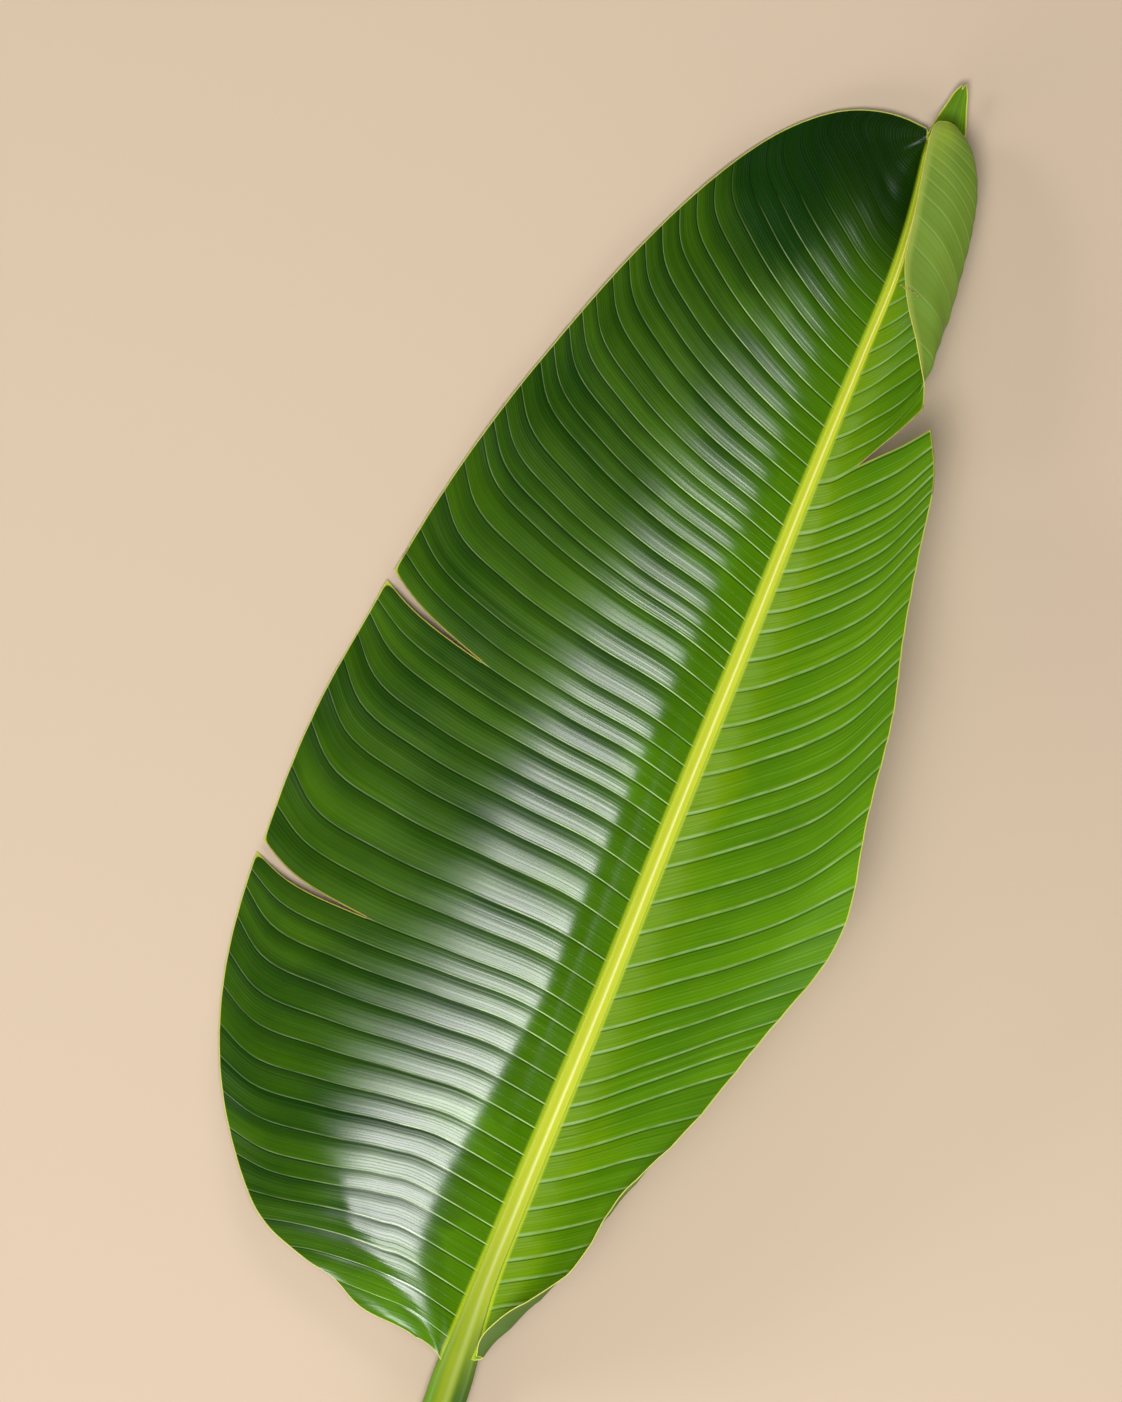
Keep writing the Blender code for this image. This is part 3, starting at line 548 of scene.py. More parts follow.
class Finish:
    """A procedural material, built node by node; its colour is painted in layers."""

    def __init__(self, name):
        self.material = bpy.data.materials.new(name)
        self.material.use_nodes = True
        self.tree = self.material.node_tree
        self.shader = self.tree.nodes["Principled BSDF"]

    def node(self, kind, settings, sockets, output):
        """Adds a node, sets it up, fills its sockets and gives one output as an amount."""
        made = self.tree.nodes.new(kind)
        for key, value in settings.items():
            setattr(made, key, value)
        for key, value in sockets.items():
            self.fill(made.inputs[key], value)
        return Amount(self, made.outputs[output])

    def fill(self, socket, value):
        """Links an amount into a socket, or sets a plain number or colour there."""
        if isinstance(value, Amount):
            self.tree.links.new(value.socket, socket)
        else:
            socket.default_value = (*value, 1.0) if isinstance(value, tuple) else value

    def math(self, operation, *values, clamp=False):
        """Adds one Math node that works on the values."""
        settings = {"operation": operation, "use_clamp": clamp}
        return self.node("ShaderNodeMath", settings, dict(enumerate(values)), "Value")

    def notes(self, *names):
        """Reads some of the notes kept on the mesh."""
        return [self.node("ShaderNodeAttribute", {"attribute_name": name}, {}, "Fac") for name in names]

    def mix(self, share, first, second):
        """Blends two colours: the first at 0, the second at 1."""
        return self.node("ShaderNodeMix", {"data_type": "RGBA", "clamp_factor": True},
                         {"Factor": share, MIX_FIRST: first, MIX_SECOND: second}, MIX_RESULT)

    def paint(self, share, colour):
        """Lays a colour over what is painted so far: none of it at 0, all of it at 1."""
        self.colour = self.mix(share, self.colour, colour)

    def grain(self, x, y, z, detail=2.0, roughness=0.5):
        """Gives soft noise, from 0 to 1, over the given coordinates."""
        place = self.node("ShaderNodeCombineXYZ", {}, {"X": x, "Y": y, "Z": z}, "Vector")
        sockets = {"Vector": place, "Scale": 1.0, "Detail": detail, "Roughness": roughness}
        return self.node("ShaderNodeTexNoise", {"noise_dimensions": "3D"}, sockets, "Fac")

    def bump(self, height, strength):
        """Turns a height in metres into small relief."""
        sockets = {"Height": height, "Distance": 1.0, "Strength": strength}
        return self.node("ShaderNodeBump", {}, sockets, "Normal")

    def set(self, **sockets):
        """Fills the shader's own sockets; underscores stand for spaces."""
        for key, value in sockets.items():
            self.fill(self.shader.inputs[key.replace("_", " ")], value)


MIX_FIRST, MIX_SECOND, MIX_RESULT = 6, 7, 2
print("a finish can", [name for name in vars(Finish) if not name.startswith("_")])


# %% [markdown]
# ## The glossy face of the blade
#
# The upper skin is deep green under clear wax, yellow right at the midrib. Beside the midrib a
# lighter painted glow stands for light shining through the blade. Each strong vein is a pale line,
# partly a painted highlight on its raised cord, with a painted shadow on its stalk side, and
# between them run hundreds of veins finer than a hair. Painted shade darkens each pleat toward its
# apex side and the blade near the apex. A stripe texture would slide over the bends. This finish
# reads the notes on the mesh instead, so all its lines follow the real veins.

# %% The face finish
FINE_VEINS = 8
RIB_YELLOW = (0.440, 0.540, 0.020)
EDGE_YELLOW = (0.42, 0.46, 0.03)


def shaded(colour, share):
    """Darkens a colour to a share of itself."""
    return tuple(share * part for part in colour)


def face_finish(name, deep, fresh, painted_glow_green, vein_pale_and_sheen, painted_glow_reach, apex_shade_depth, vein_width,
                vein_out, shade, roughness, ior):
    """Makes the upper skin from its greens and from how far its marks reach."""
    skin = Finish(name)
    along, reach, crease, tone = skin.notes("along", "reach", "crease", "tone")
    edge, count = skin.notes("edge", "count")
    patches = skin.grain(along * 26.0, reach * 16.0, 0.3, detail=3.0)
    streaks = skin.grain(along * 230.0, reach * 2.2, 1.7, roughness=0.6)
    hairs = skin.grain(along * 800.0, reach * 3.5, 4.1, detail=1.0)
    breaks = skin.grain(along * 40.0, reach * 60.0, 7.2)
    fine = skin.math("SINE", count * (2 * math.pi * FINE_VEINS) + streaks * 14.0)
    # Painted shade: near the apex, where the blade bends down and away from the light, the greens are
    # painted deeper.
    painted_apex_shade = along.between(0.55, 0.66) * apex_shade_depth
    last_part = along.between(0.60, 0.67)
    blend = patches * 0.85 + streaks * 0.5 + tone * 0.15 - 0.40 - painted_apex_shade
    skin.colour = skin.mix(blend.clamped(), deep, fresh)
    # Painted shade: each pleat is painted darker toward its apex side, where its arch turns away from
    # the light.
    skin.paint(skin.math("FRACT", count).between(0.40, 1.0) * 0.60, deep)
    # Painted shade: the last part before the apex is painted darker still.
    skin.paint(last_part * apex_shade_depth * 0.9, shaded(deep, 0.45))
    # Painted light: beside the midrib the green is painted lighter, evenly and in patches, for light
    # shining through the thin blade there.
    from_rib = reach.line(painted_glow_reach, 0.0, 1.0)
    painted_glow = from_rib * (0.30 + from_rib * 0.45 + streaks * 0.4) * (1.0 - last_part * apex_shade_depth)
    patchy = patches.between(0.50, 0.64) * reach.line(painted_glow_reach, 0.3, 1.6) * 0.45
    skin.paint((painted_glow + patchy * (1.0 - painted_apex_shade)).clamped(), painted_glow_green)
    threads = fine.between(0.25, 1.0) * 0.26 * (0.3 + breaks) + hairs.between(0.52, 0.70) * 0.18
    skin.paint(threads * (1.0 - last_part * 0.85), shaded(deep, 0.35))
    shadow = (crease + (vein_width + 0.00035)).line(0.00050, 0.2, 1.3) * shade * (1.0 - last_part)
    skin.paint(shadow, shaded(deep, 0.30))
    # The pale vein line is partly the vein's own paler colour and partly a painted highlight on its
    # raised cord; it fades outward and toward the apex.
    seen = 1.0 - reach.between(0.03, 0.12) * vein_out - painted_apex_shade * 0.75 - last_part * 0.3
    vein = crease.line(vein_width, 0.15, 1.10) * seen.clamped() * (breaks * 2.0 - 0.15)
    skin.paint(vein.clamped(), vein_pale_and_sheen)
    skin.paint(reach.under(0.0027, 0.0050) * 0.85, RIB_YELLOW)
    skin.paint(edge.under(0.0002, 0.0007), EDGE_YELLOW)
    relief = hairs * 0.000060 + streaks * 0.000060 - fine * 0.000005
    skin.set(Base_Color=skin.colour, Normal=skin.bump(relief, 0.9), IOR=ior,
             Roughness=roughness + (streaks - 0.5) * 0.12 + fine.between(0.2, 1.0) * 0.11)
    return skin.material


broad_face = face_finish(
    "broad half, glossy face", deep=(0.005, 0.036, 0.0001), fresh=(0.078, 0.190, 0.0001),
    painted_glow_green=(0.076, 0.205, 0.0001), vein_pale_and_sheen=(0.500, 0.700, 0.270), painted_glow_reach=0.075,
    apex_shade_depth=0.95, vein_width=0.00044, vein_out=0.78, shade=0.60, roughness=0.185, ior=1.50)
# The narrow half's greens are lighter and yellower than the broad half's: partly its own colour and
# partly painted light, for the light that falls on it from the left and shines through it.
narrow_face = face_finish(
    "narrow half, glossy face", deep=(0.055, 0.175, 0.0001), fresh=(0.146, 0.322, 0.0001),
    painted_glow_green=(0.152, 0.285, 0.0001), vein_pale_and_sheen=(0.260, 0.420, 0.120), painted_glow_reach=0.055,
    apex_shade_depth=0.45, vein_width=0.00130, vein_out=0.20, shade=0.75, roughness=0.32, ior=1.22)
tongue_face = face_finish(
    "tongue, satin", deep=(0.080, 0.180, 0.0002), fresh=(0.165, 0.320, 0.0003),
    painted_glow_green=(0.150, 0.370, 0.0003), vein_pale_and_sheen=(0.320, 0.460, 0.160), painted_glow_reach=0.050,
    apex_shade_depth=0.10, vein_width=0.00080, vein_out=0.20, shade=0.45, roughness=0.60, ior=1.25)
print("three face finishes:", broad_face.name, "and", narrow_face.name, "and", tongue_face.name)


# %% [markdown]
# ## The dull back of the blade
#
# Below, the wax is a thin grey bloom, so the back is pale sage and nearly without gloss. The roll
# and the turned-in margin show it. It has its own finish and not a tint of the face's, because its
# veins are softer and wider and the weak ones show too.

# %% The back finish
def back_finish():
    """Makes the lower skin."""
    skin = Finish("blade back, pale and dull")
    along, reach, crease, weak = skin.notes("along", "reach", "crease", "weak_vein")
    edge, tone = skin.notes("edge", "tone")
    patches = skin.grain(along * 30.0, reach * 22.0, 2.3, detail=3.0)
    streaks = skin.grain(along * 380.0, reach * 9.0, 6.1, detail=3.0, roughness=0.6)
    skin.colour = skin.mix((patches * 0.6 + streaks * 0.5 + tone * 0.3 - 0.3).clamped(),
                           (0.125, 0.235, 0.010), (0.215, 0.330, 0.032))
    skin.paint(weak.line(0.00060, 0.1, 1.0) * 0.20, (0.080, 0.180, 0.012))
    shadow = (crease + 0.0014).line(0.0014, 0.1, 1.0) * 0.40
    skin.paint(shadow, (0.070, 0.165, 0.010))
    vein = crease.line(0.0010, 0.1, 1.0) * 0.40
    skin.paint(vein, (0.300, 0.420, 0.070))
    warm = along.between(0.60, 0.68) * edge.under(0.004, 0.022) * 0.75
    skin.paint(warm, (0.300, 0.410, 0.020))
    skin.paint(edge.under(0.0006, 0.0060), (0.300, 0.390, 0.050))
    # Painted shade: near the base the back is painted dark green, for the shade the underside lies in
    # there.
    skin.paint(along.under(0.06, 0.14) * 0.92, (0.040, 0.090, 0.003))
    relief = streaks * 0.00010 + vein * 0.00015
    skin.set(Base_Color=skin.colour, Roughness=0.62 + (streaks - 0.5) * 0.1,
             Normal=skin.bump(relief, 0.8), IOR=1.42)
    return skin.material


blade_back = back_finish()
print("the back is", blade_back.name)


# %% [markdown]
# ## Midrib and edge finishes
#
# The midrib is yellow-green with a cream line along its channel, and turns leaf green at its
# sides and below. One finish with notes for side and height keeps these bands in place along the
# whole taper. The margin of the blade is a dry yellow thread, brown where it tore.

# %% Keel and edge finishes
def keel_finish():
    """Makes the skin of the stalk and midrib."""
    skin = Finish("midrib and stalk, satin")
    along, side, height = skin.notes("along", "side", "height")
    fibres = skin.grain(side * 9.0, along * 12.0, 0.8, detail=3.0, roughness=0.6)
    mottle = skin.grain(side * 2.0, along * 60.0, 3.3)
    stalk = along.under(-0.02, 0.05)
    lower = along.under(-0.02, 0.16)
    upper = skin.mix((fibres * 0.8 + mottle * 0.4 - 0.1).clamped(),
                     (0.410, 0.490, 0.010), (0.620, 0.640, 0.025))
    lower_green = skin.mix(fibres, (0.150, 0.240, 0.003), (0.260, 0.340, 0.010))
    flank = skin.mix(fibres, (0.050, 0.120, 0.006), (0.110, 0.200, 0.020))
    skin.colour = skin.mix(side.size().between(0.62, 0.98), upper, (0.300, 0.470, 0.020))
    cream = (side - 0.12).line(0.20, 0.10, 1.0) * (0.60 + fibres * 0.5) * (1.0 - stalk * 0.8)
    skin.paint(cream.clamped(), (0.800, 0.800, 0.260))
    skin.paint(lower * 0.85, lower_green)
    skin.paint(stalk * (0.0 - side).between(0.35, 0.72) * 0.85, (0.100, 0.240, 0.004))
    # Painted shade: the right half of the stalk's top is painted dark green, as it faces away from the
    # light.
    skin.paint(stalk * side.between(0.06, 0.42) * 0.95, (0.030, 0.095, 0.002))
    skin.paint(height.under(0.62, 0.90), flank)
    relief = fibres * 0.00012 + mottle * 0.00004
    skin.set(Base_Color=skin.colour, Roughness=0.46 + (fibres - 0.5) * 0.12,
             Normal=skin.bump(relief, 0.7), IOR=1.33)
    return skin.material


def edge_finish():
    """Makes the dry thread along the margin."""
    skin = Finish("margin, dry thread")
    along, torn = skin.notes("along", "torn")
    spots = skin.grain(along * 300.0, torn, 0.5, detail=3.0)
    yellow = skin.mix(spots, (0.400, 0.440, 0.045), (0.620, 0.600, 0.130))
    skin.set(Base_Color=skin.mix(torn * (0.35 + spots * 0.9), yellow, (0.130, 0.062, 0.020)),
             Roughness=0.55, Normal=skin.bump(spots * 0.0001, 0.5))
    return skin.material


keel_skin = keel_finish()
edge_thread = edge_finish()
print("the keel is", keel_skin.name, "and the edge is", edge_thread.name)

# %% [markdown]
# ## The broad half
#
# This half hangs over a low crest, with soft swells that make its reflections wander. A flat grid
# pushed about by a simulation would not keep the traced veins, so the sheet spans them. It is then
# relaxed along and across, given its swells and one soft fold near the base, and pleated.

# %% Shape the broad half
ACROSS_REACH = 0.022
FOLD_START, FOLD_LENGTH, FOLD_WIDTH, FOLD_HEIGHT = 0.060, 0.060, 0.0070, 0.0003
SWELL_HEIGHT = 0.00055


def warped_shares(count, pull):
    """Spaces columns across the blade, closer together near the midrib."""
    even = np.linspace(0.0, 1.0, count)
    return even * (1.0 - pull + pull * even)


def opening(shares, root):
    """Finds the column where a tear ends, and how open the tear is at each column."""
    column = int(np.argmin(np.abs(shares - root)))
    return column, np.clip((shares - shares[column]) / (1.0 - shares[column]), 0.0, 1.0)


def tear_sides(notes, stations, torn, openness, stretch=1.0):
    """Notes the two sides of a tear as edges."""
    from_tear = np.abs(stations - torn)[:, None] * BLADE_LENGTH * stretch
    notes["edge"] = np.minimum(notes["edge"], np.where(openness > 0.0, from_tear, 1.0))


def swells(grid, stations, shares):
    """Gives the height of the swells and of the fold near the base."""
    across = grid[:, :, 0] / BLADE_LENGTH
    along = grid[:, :, 1] / BLADE_LENGTH
    fold_part = np.clip((along - FOLD_START) / FOLD_LENGTH, 0.0, 1.0)
    from_fold = across + 0.100 + 0.034 * fold_part
    fold = np.exp(-(from_fold / FOLD_WIDTH) ** 2) * np.sin(np.pi * fold_part) * FOLD_HEIGHT
    swell = np.sin(along * 46.0 + across * 21.0) + 0.6 * np.sin(along * 83.0 + 1.3)
    outer = np.clip((shares - 0.55) / 0.35, 0.0, 1.0) * np.clip(stations / 0.1, 0.0, 1.0)[:, None]
    return fold + swell * outer * SWELL_HEIGHT


broad_starts, broad_veins = vein_points(BROAD_VEINS, -1)
broad_shares = warped_shares(45, 0.45)
broad_root, broad_openness = opening(broad_shares, BROAD_SPLIT_ROOT)
stations, phases, pleats = pleat_rows(BROAD_CREASES)
sheet = span_veins(broad_starts, broad_veins, BROAD_KNOTS, stations, broad_shares, steady=True)
sheet = relaxed(sheet, stations, BROAD_REACH, [stations[0], stations[-1]])
sheet = relaxed(sheet.transpose(1, 0, 2), broad_shares, ACROSS_REACH, [0.0, 1.0]).transpose(1, 0, 2)
sheet[:, :, 2] += swells(sheet, stations, broad_shares)
sheet, pitch = pleated(sheet, stations, phases, broad_shares, -1.0)
broad_notes = notes_for(sheet, stations, phases, pleats, pitch, 5)
print("the broad half is", round(float(np.ptp(sheet[:, :, 0])) * 1000), "mm wide")

# %% [markdown]
# Two veins of this half have torn from the margin inwards. Each tear parts the grid along a row,
# so the blade is made of three panels that are still one inside the ends of the tears. The two
# sides of a tear move apart most at the margin. Cutting holes afterwards would leave ragged faces.

# %% Tear the broad half
TEAR_STEP = 0.0010
for torn, _, _ in BROAD_SPLITS:
    tear_sides(broad_notes, stations, torn, broad_openness, 1.2)

broad_panels, first = [], 0
for panel, limit in enumerate([split[0] for split in BROAD_SPLITS] + [BROAD_CREASES[-1]]):
    end = int(np.argmin(np.abs(stations - limit)))
    part = sheet[first:end + 1].copy()
    places = stations[first:end + 1]
    for torn, gap_along, gap_across in BROAD_SPLITS:
        away = 1.0 if places.mean() > torn else -1.0
        fade = np.clip(1.0 - np.abs(places - torn) / SPLIT_REACH, 0.0, 1.0) ** 1.5
        move = away * fade[:, None] * broad_openness[None, :]
        part += move[:, :, None] * (gap_across * BLADE_LENGTH, gap_along * BLADE_LENGTH, 0.0)
        part[:, :, 2] += TEAR_STEP * np.abs(move) * (panel - 1)
    kept = {key: value[first:end + 1] for key, value in broad_notes.items()}
    broad_panels.append((part, kept, broad_root + 1))
    first = end

broad, broad_points, broad_edges = skin_piece(
    "leaf_broad_half", broad_panels, -1.0, [broad_face, blade_back, edge_thread])

# %% [markdown]
# ## The narrow half
#
# Below its tear this half stands up like a wall, and above the tear it rolls over. One grid could
# not do both, so there are two. They share their inner columns, up to where the tear begins.

# %% Shape the narrow half
NARROW_REACH = 0.010
ROLL_REACH = 0.007
ROLL_SLANT = 0.034

narrow_starts, narrow_veins = vein_points(NARROW_VEINS, 1)
narrow_shares = warped_shares(47, 0.18)
narrow_root, narrow_openness = opening(narrow_shares, NARROW_SPLIT_ROOT)
stations, phases, pleats = pleat_rows(NARROW_CREASES)
tear_row = int(np.argmin(np.abs(stations - NARROW_SPLIT)))
gap = np.array(NARROW_GAP)[[1, 0, 2]] * (BLADE_LENGTH, BLADE_LENGTH, 0.001)
lower = span_veins(narrow_starts, narrow_veins, NARROW_KNOTS, stations[:tear_row + 1], narrow_shares)
print("the narrow half stands", round(float(lower[:, :, 2].max()) * 1000), "mm high")

# %% [markdown]
# The roll has its own veins, and its first one is the torn edge of the part below, moved by the
# gap. Its veins slant toward the apex as they climb, so each column of the grid is read a little
# further along than the one before.

# %% Shape the roll and close the skin
roll_knots = np.array(ROLL_KNOTS)
torn_edge = smooth(NARROW_KNOTS, smooth(narrow_starts, narrow_veins, [NARROW_SPLIT])[0], roll_knots)
edge_openness = np.clip((roll_knots - NARROW_SPLIT_ROOT) / (1.0 - NARROW_SPLIT_ROOT), 0.0, 1.0)
torn_edge = torn_edge + edge_openness[:, None] * gap
roll_starts, roll_veins = vein_points(ROLL_VEINS, 1)
roll_starts = np.concatenate([[NARROW_SPLIT], roll_starts])
roll_veins = np.concatenate([torn_edge[None, :, :], roll_veins])
rolled_stations = stations[tear_row:]
ahead_most = ROLL_SLANT * smooth([0.722, 0.790, 0.900, 0.998], [0.0, 1.0, 1.0, 0.0], rolled_stations)
ahead_shares = smooth([0.0, 0.30, 0.60, 1.0], [0.0, 0.28, 0.30, 1.0], narrow_shares)
columns = [span_veins(roll_starts, roll_veins, ROLL_KNOTS, rolled_stations + ahead_most * ahead, [share])
           for share, ahead in zip(narrow_shares, ahead_shares)]
upper = np.concatenate(columns, axis=1)
upper[0] = lower[-1] + narrow_openness[:, None] * gap
lower = relaxed(lower, stations[:tear_row + 1], NARROW_REACH, [stations[0], NARROW_SPLIT])
upper = relaxed(upper, rolled_stations, ROLL_REACH, [NARROW_SPLIT, stations[-1]])

narrow_panels = []
for part, rows in ((lower, slice(0, tear_row + 1)), (upper, slice(tear_row, None))):
    made, pitch = pleated(part, stations[rows], phases[rows], narrow_shares, 1.0)
    noted = notes_for(made, stations[rows], phases[rows], pleats[rows], pitch, 9)
    tear_sides(noted, stations[rows], NARROW_SPLIT, narrow_openness)
    narrow_panels.append((made, noted, narrow_root + 1))

narrow, narrow_points, narrow_edges = skin_piece(
    "leaf_narrow_half", narrow_panels, 1.0, [narrow_face, blade_back, edge_thread])

# %% [markdown]
# ## The tongue at the apex
#
# The very tip of a young leaf stays folded longest. It dries into a short blunt tongue that
# stands out beyond the roll: a small cupped grid, with an uneven end made by moving its last rows.

# %% Build the tongue
CUP_HEIGHT = 1.6
NOTCHES = [0.0, 0.6, -1.4, 1.0, 1.8, 0.2]
tongue_rows = np.array(TONGUE)
tongue_stations = np.linspace(tongue_rows[0, 0], tongue_rows[-1, 0], 41)
found = smooth(tongue_rows[:, 0], tongue_rows[:, 1:], tongue_stations)
spread = np.linspace(0.0, 1.0, 25)
left, right, height = found[:, 0:1], found[:, 1:2], found[:, 2:3]
tip_fade = np.clip((tongue_stations - 1.034) / 0.0065, 0.0, 1.0)[:, None]
notch = smooth(np.linspace(0.0, 1.0, len(NOTCHES)), NOTCHES, spread) / 1000.0
tongue_grid = np.stack([(left + (right - left) * spread) * BLADE_LENGTH,
                        tongue_stations[:, None] * BLADE_LENGTH + notch * tip_fade,
                        (height + CUP_HEIGHT * (2 * spread - 1) ** 2) / 1000.0], axis=-1)
shape = tongue_grid.shape[:2]
tongue_notes = {note: np.broadcast_to(values, shape) for note, values in (
    ("along", spread * 0.02), ("reach", (tongue_stations[:, None] - 0.85) * BLADE_LENGTH),
    ("edge", (right - left) * BLADE_LENGTH * np.minimum(spread, 1 - spread)),
    ("crease", 0.01), ("weak_vein", 0.01), ("count", spread * 1.4), ("tone", 0.3))}
tongue, tongue_points, tongue_edges = skin_piece(
    "leaf_tongue", [(tongue_grid, tongue_notes, 0)], 1.0, [tongue_face, blade_back, edge_thread])


# %% [markdown]
# ## The stalk and midrib
#
# One loft carries the slices from the cut end to the apex, with a flat keel, round flanks and a
# shallow channel. Making the rings in code lets each point note how far to the side and how high
# it lies, for the finish.

# %% Build the keel
KEEL_FLANK = [(0.0, 0.0), (0.34, 0.000), (0.58, 0.055), (0.78, 0.210), (0.95, 0.450),
              (1.00, 0.700), (0.95, 0.900), (0.80, 0.990)]
CHANNEL_EDGE = 0.80
FLANK_POINTS = 15
KEEL_SHARP_ANGLE = 50


def keel_outline(width, top, bottom, channel):
    """Draws the outline of a slice in metres, and in shares of its half width and height."""
    tall = top - bottom
    steps = np.linspace(0, len(KEEL_FLANK) - 1, FLANK_POINTS)
    flank = smooth(range(len(KEEL_FLANK)), KEEL_FLANK, steps)
    flank = np.stack([np.minimum(flank[:, 0], 1.0), np.maximum(flank[:, 1], 0.0)], axis=1)
    sweep = np.linspace(CHANNEL_EDGE, -CHANNEL_EDGE, FLANK_POINTS)[1:-1] / CHANNEL_EDGE
    dip = channel / tall * 0.5 * (1 + np.cos(np.pi * sweep))
    trough = np.stack([sweep * CHANNEL_EDGE, 0.99 + 0.01 * (1 - sweep ** 2) - dip], axis=1)
    ring = np.concatenate([flank[1:], trough, (flank[::-1] * (-1.0, 1.0))[:-1]])
    return ring * (width / 2, tall) + (0.0, bottom), ring


keel_stations = np.concatenate([np.linspace(-STALK_LENGTH / BLADE_LENGTH, 0.0, 60)[:-1],
                                np.linspace(0.0, 1.0, 321)])
keel_rows = keel_at(keel_stations)
rings = []
ring_shares = []
for station, (place, width, top, bottom, channel) in zip(keel_stations, keel_rows):
    outline, shares = keel_outline(width, top, bottom, channel)
    along = np.full(len(outline), station * BLADE_LENGTH)
    rings.append(np.column_stack([place + outline[:, 0], along, outline[:, 1]]))
    ring_shares.append(shares)

ring_size = len(rings[0])
index = np.arange(len(rings) * ring_size).reshape(len(rings), ring_size)
after = np.roll(index, -1, axis=1)
walls = np.stack([index[:-1], index[1:], after[1:], after[:-1]], axis=-1).reshape(-1, 4)
ends = [index[0].tolist(), index[-1][::-1].tolist()]
side, height = np.concatenate(ring_shares).T
keel_notes = {"side": side, "height": height,
              "along": np.repeat(keel_stations * BLADE_LENGTH, ring_size)}
midrib = made_object("leaf_midrib", np.concatenate(rings), walls.tolist() + ends, [keel_skin],
                     keel_notes, KEEL_SHARP_ANGLE)


# %% [markdown]
# ## The margin
#
# The edge of the blade is a thin dry thread, brown where the blade tore. A curve with a bevel
# could make it, but a bead swept along the free edges of the skins follows them exactly. A few
# sides are enough, since it is less than a millimetre thick.

# %% Follow the free edges with a bead
BEAD_RADIUS = 0.00032
HIDDEN_RADIUS = 0.00005
HIDDEN_HEIGHT = 0.017
BEAD_SIDES = 6
bead = {"points": [], "faces": [], "along": [], "torn": []}


def edge_chains(edges):
    """Orders the free edge steps into closed chains of points."""
    following = {int(a): int(b) for a, b in edges}
    chains = []
    while following:
        start = next(iter(following))
        chain = [start]
        step = following.pop(start)
        while step != start and step in following:
            chain.append(step)
            step = following.pop(step)
        chains.append(chain)
    return chains


def add_bead(path, radius, along, torn):
    """Sweeps a small ring along a closed path and adds it to the bead."""
    ahead = np.roll(path, -1, axis=0) - np.roll(path, 1, axis=0)
    ahead /= np.maximum(np.linalg.norm(ahead, axis=1, keepdims=True), 1e-9)
    side = np.cross(ahead, (0.0, 0.0, 1.0))
    side /= np.maximum(np.linalg.norm(side, axis=1, keepdims=True), 1e-6)
    over = np.cross(side, ahead)
    turns = np.linspace(0, 2 * np.pi, BEAD_SIDES, endpoint=False)[None, :, None]
    swing = np.cos(turns) * side[:, None, :] + np.sin(turns) * over[:, None, :]
    count = sum(len(part) for part in bead["points"])
    index = count + np.arange(len(path) * BEAD_SIDES).reshape(-1, BEAD_SIDES)
    forward = np.roll(index, -1, axis=0)
    quads = [index, np.roll(index, -1, axis=1), np.roll(forward, -1, axis=1), forward]
    bead["points"].append((path[:, None, :] + swing * radius[:, None, None]).reshape(-1, 3))
    bead["faces"].append(np.stack(quads, axis=-1).reshape(-1, 4))
    bead["along"].append(np.repeat(along, BEAD_SIDES))
    bead["torn"].append(np.repeat(torn, BEAD_SIDES))


def torn_share(path):
    """Says how brown the thread is at each point: it dried where the blade tore."""
    across = path[:, 0]
    along = path[:, 1] / BLADE_LENGTH
    brown = np.zeros(len(path))
    for (torn, _, _), ahead, outermost in zip(BROAD_SPLITS, (0.020, 0.050), (-0.196, -0.18228)):
        near = (np.abs(along - (torn + ahead)) < 0.045) & (across < -0.12) & (across > outermost)
        brown = np.maximum(brown, near * 0.9)
    near = (along > 0.742) & (along < 0.803) & (across > 0.028)
    return np.maximum(brown, near * 0.8)


for points, edges in ((broad_points, broad_edges), (narrow_points, narrow_edges),
                      (tongue_points, tongue_edges)):
    for chain in edge_chains(edges):
        path = points[chain]
        middle, width = (np.interp(path[:, 1], keel_stations * BLADE_LENGTH, keel_rows[:, column])
                         for column in (0, 1))
        inside = np.abs(path[:, 0] - middle) < width / 2 - 0.0006
        radius = np.where(inside & (path[:, 2] < HIDDEN_HEIGHT), HIDDEN_RADIUS, BEAD_RADIUS)
        steps = np.linalg.norm(np.diff(path, axis=0), axis=1)
        add_bead(path, radius, np.concatenate([[0.0], np.cumsum(steps)]), torn_share(path))
print("the bead follows", sum(len(part) for part in bead["along"]) // BEAD_SIDES, "points")

# %% [markdown]
# The flap of the roll has one short tear of its own. It lies on the surface as a thin line, so it
# is a bead too: it goes out along the roll and comes back just below.

# %% The torn line on the roll
FLAP_TEAR = np.array([(0.0222, 0.8813), (0.0385, 0.8787)]) * BLADE_LENGTH
FLAP_STEPS = 16
FLAP_POINTS = 40
rolled = narrow_panels[1][0][:, narrow_shares > 0.75].reshape(-1, 3)
tear_path = []
for part in np.linspace(0.0, 1.0, FLAP_STEPS):
    x, y = FLAP_TEAR[0] + (FLAP_TEAR[1] - FLAP_TEAR[0]) * part
    y += 0.0004 * math.sin(part * 19.0)
    nearest = np.argmin(np.hypot(rolled[:, 0] - x, rolled[:, 1] - y))
    tear_path.append([x, y, rolled[nearest, 2] + 0.0005])
tear_path = smooth(np.arange(FLAP_STEPS), tear_path, np.linspace(0, FLAP_STEPS - 1, FLAP_POINTS))
tear_path = np.concatenate([tear_path, tear_path[::-1] - (0.0, 0.00015, 0.0002)])
places = np.arange(len(tear_path))
add_bead(tear_path, 0.00030 + 0.00022 * np.sin(places * 0.9), places * 0.0004,
         np.full(len(places), 0.75))
parts = {key: np.concatenate(values) for key, values in bead.items()}
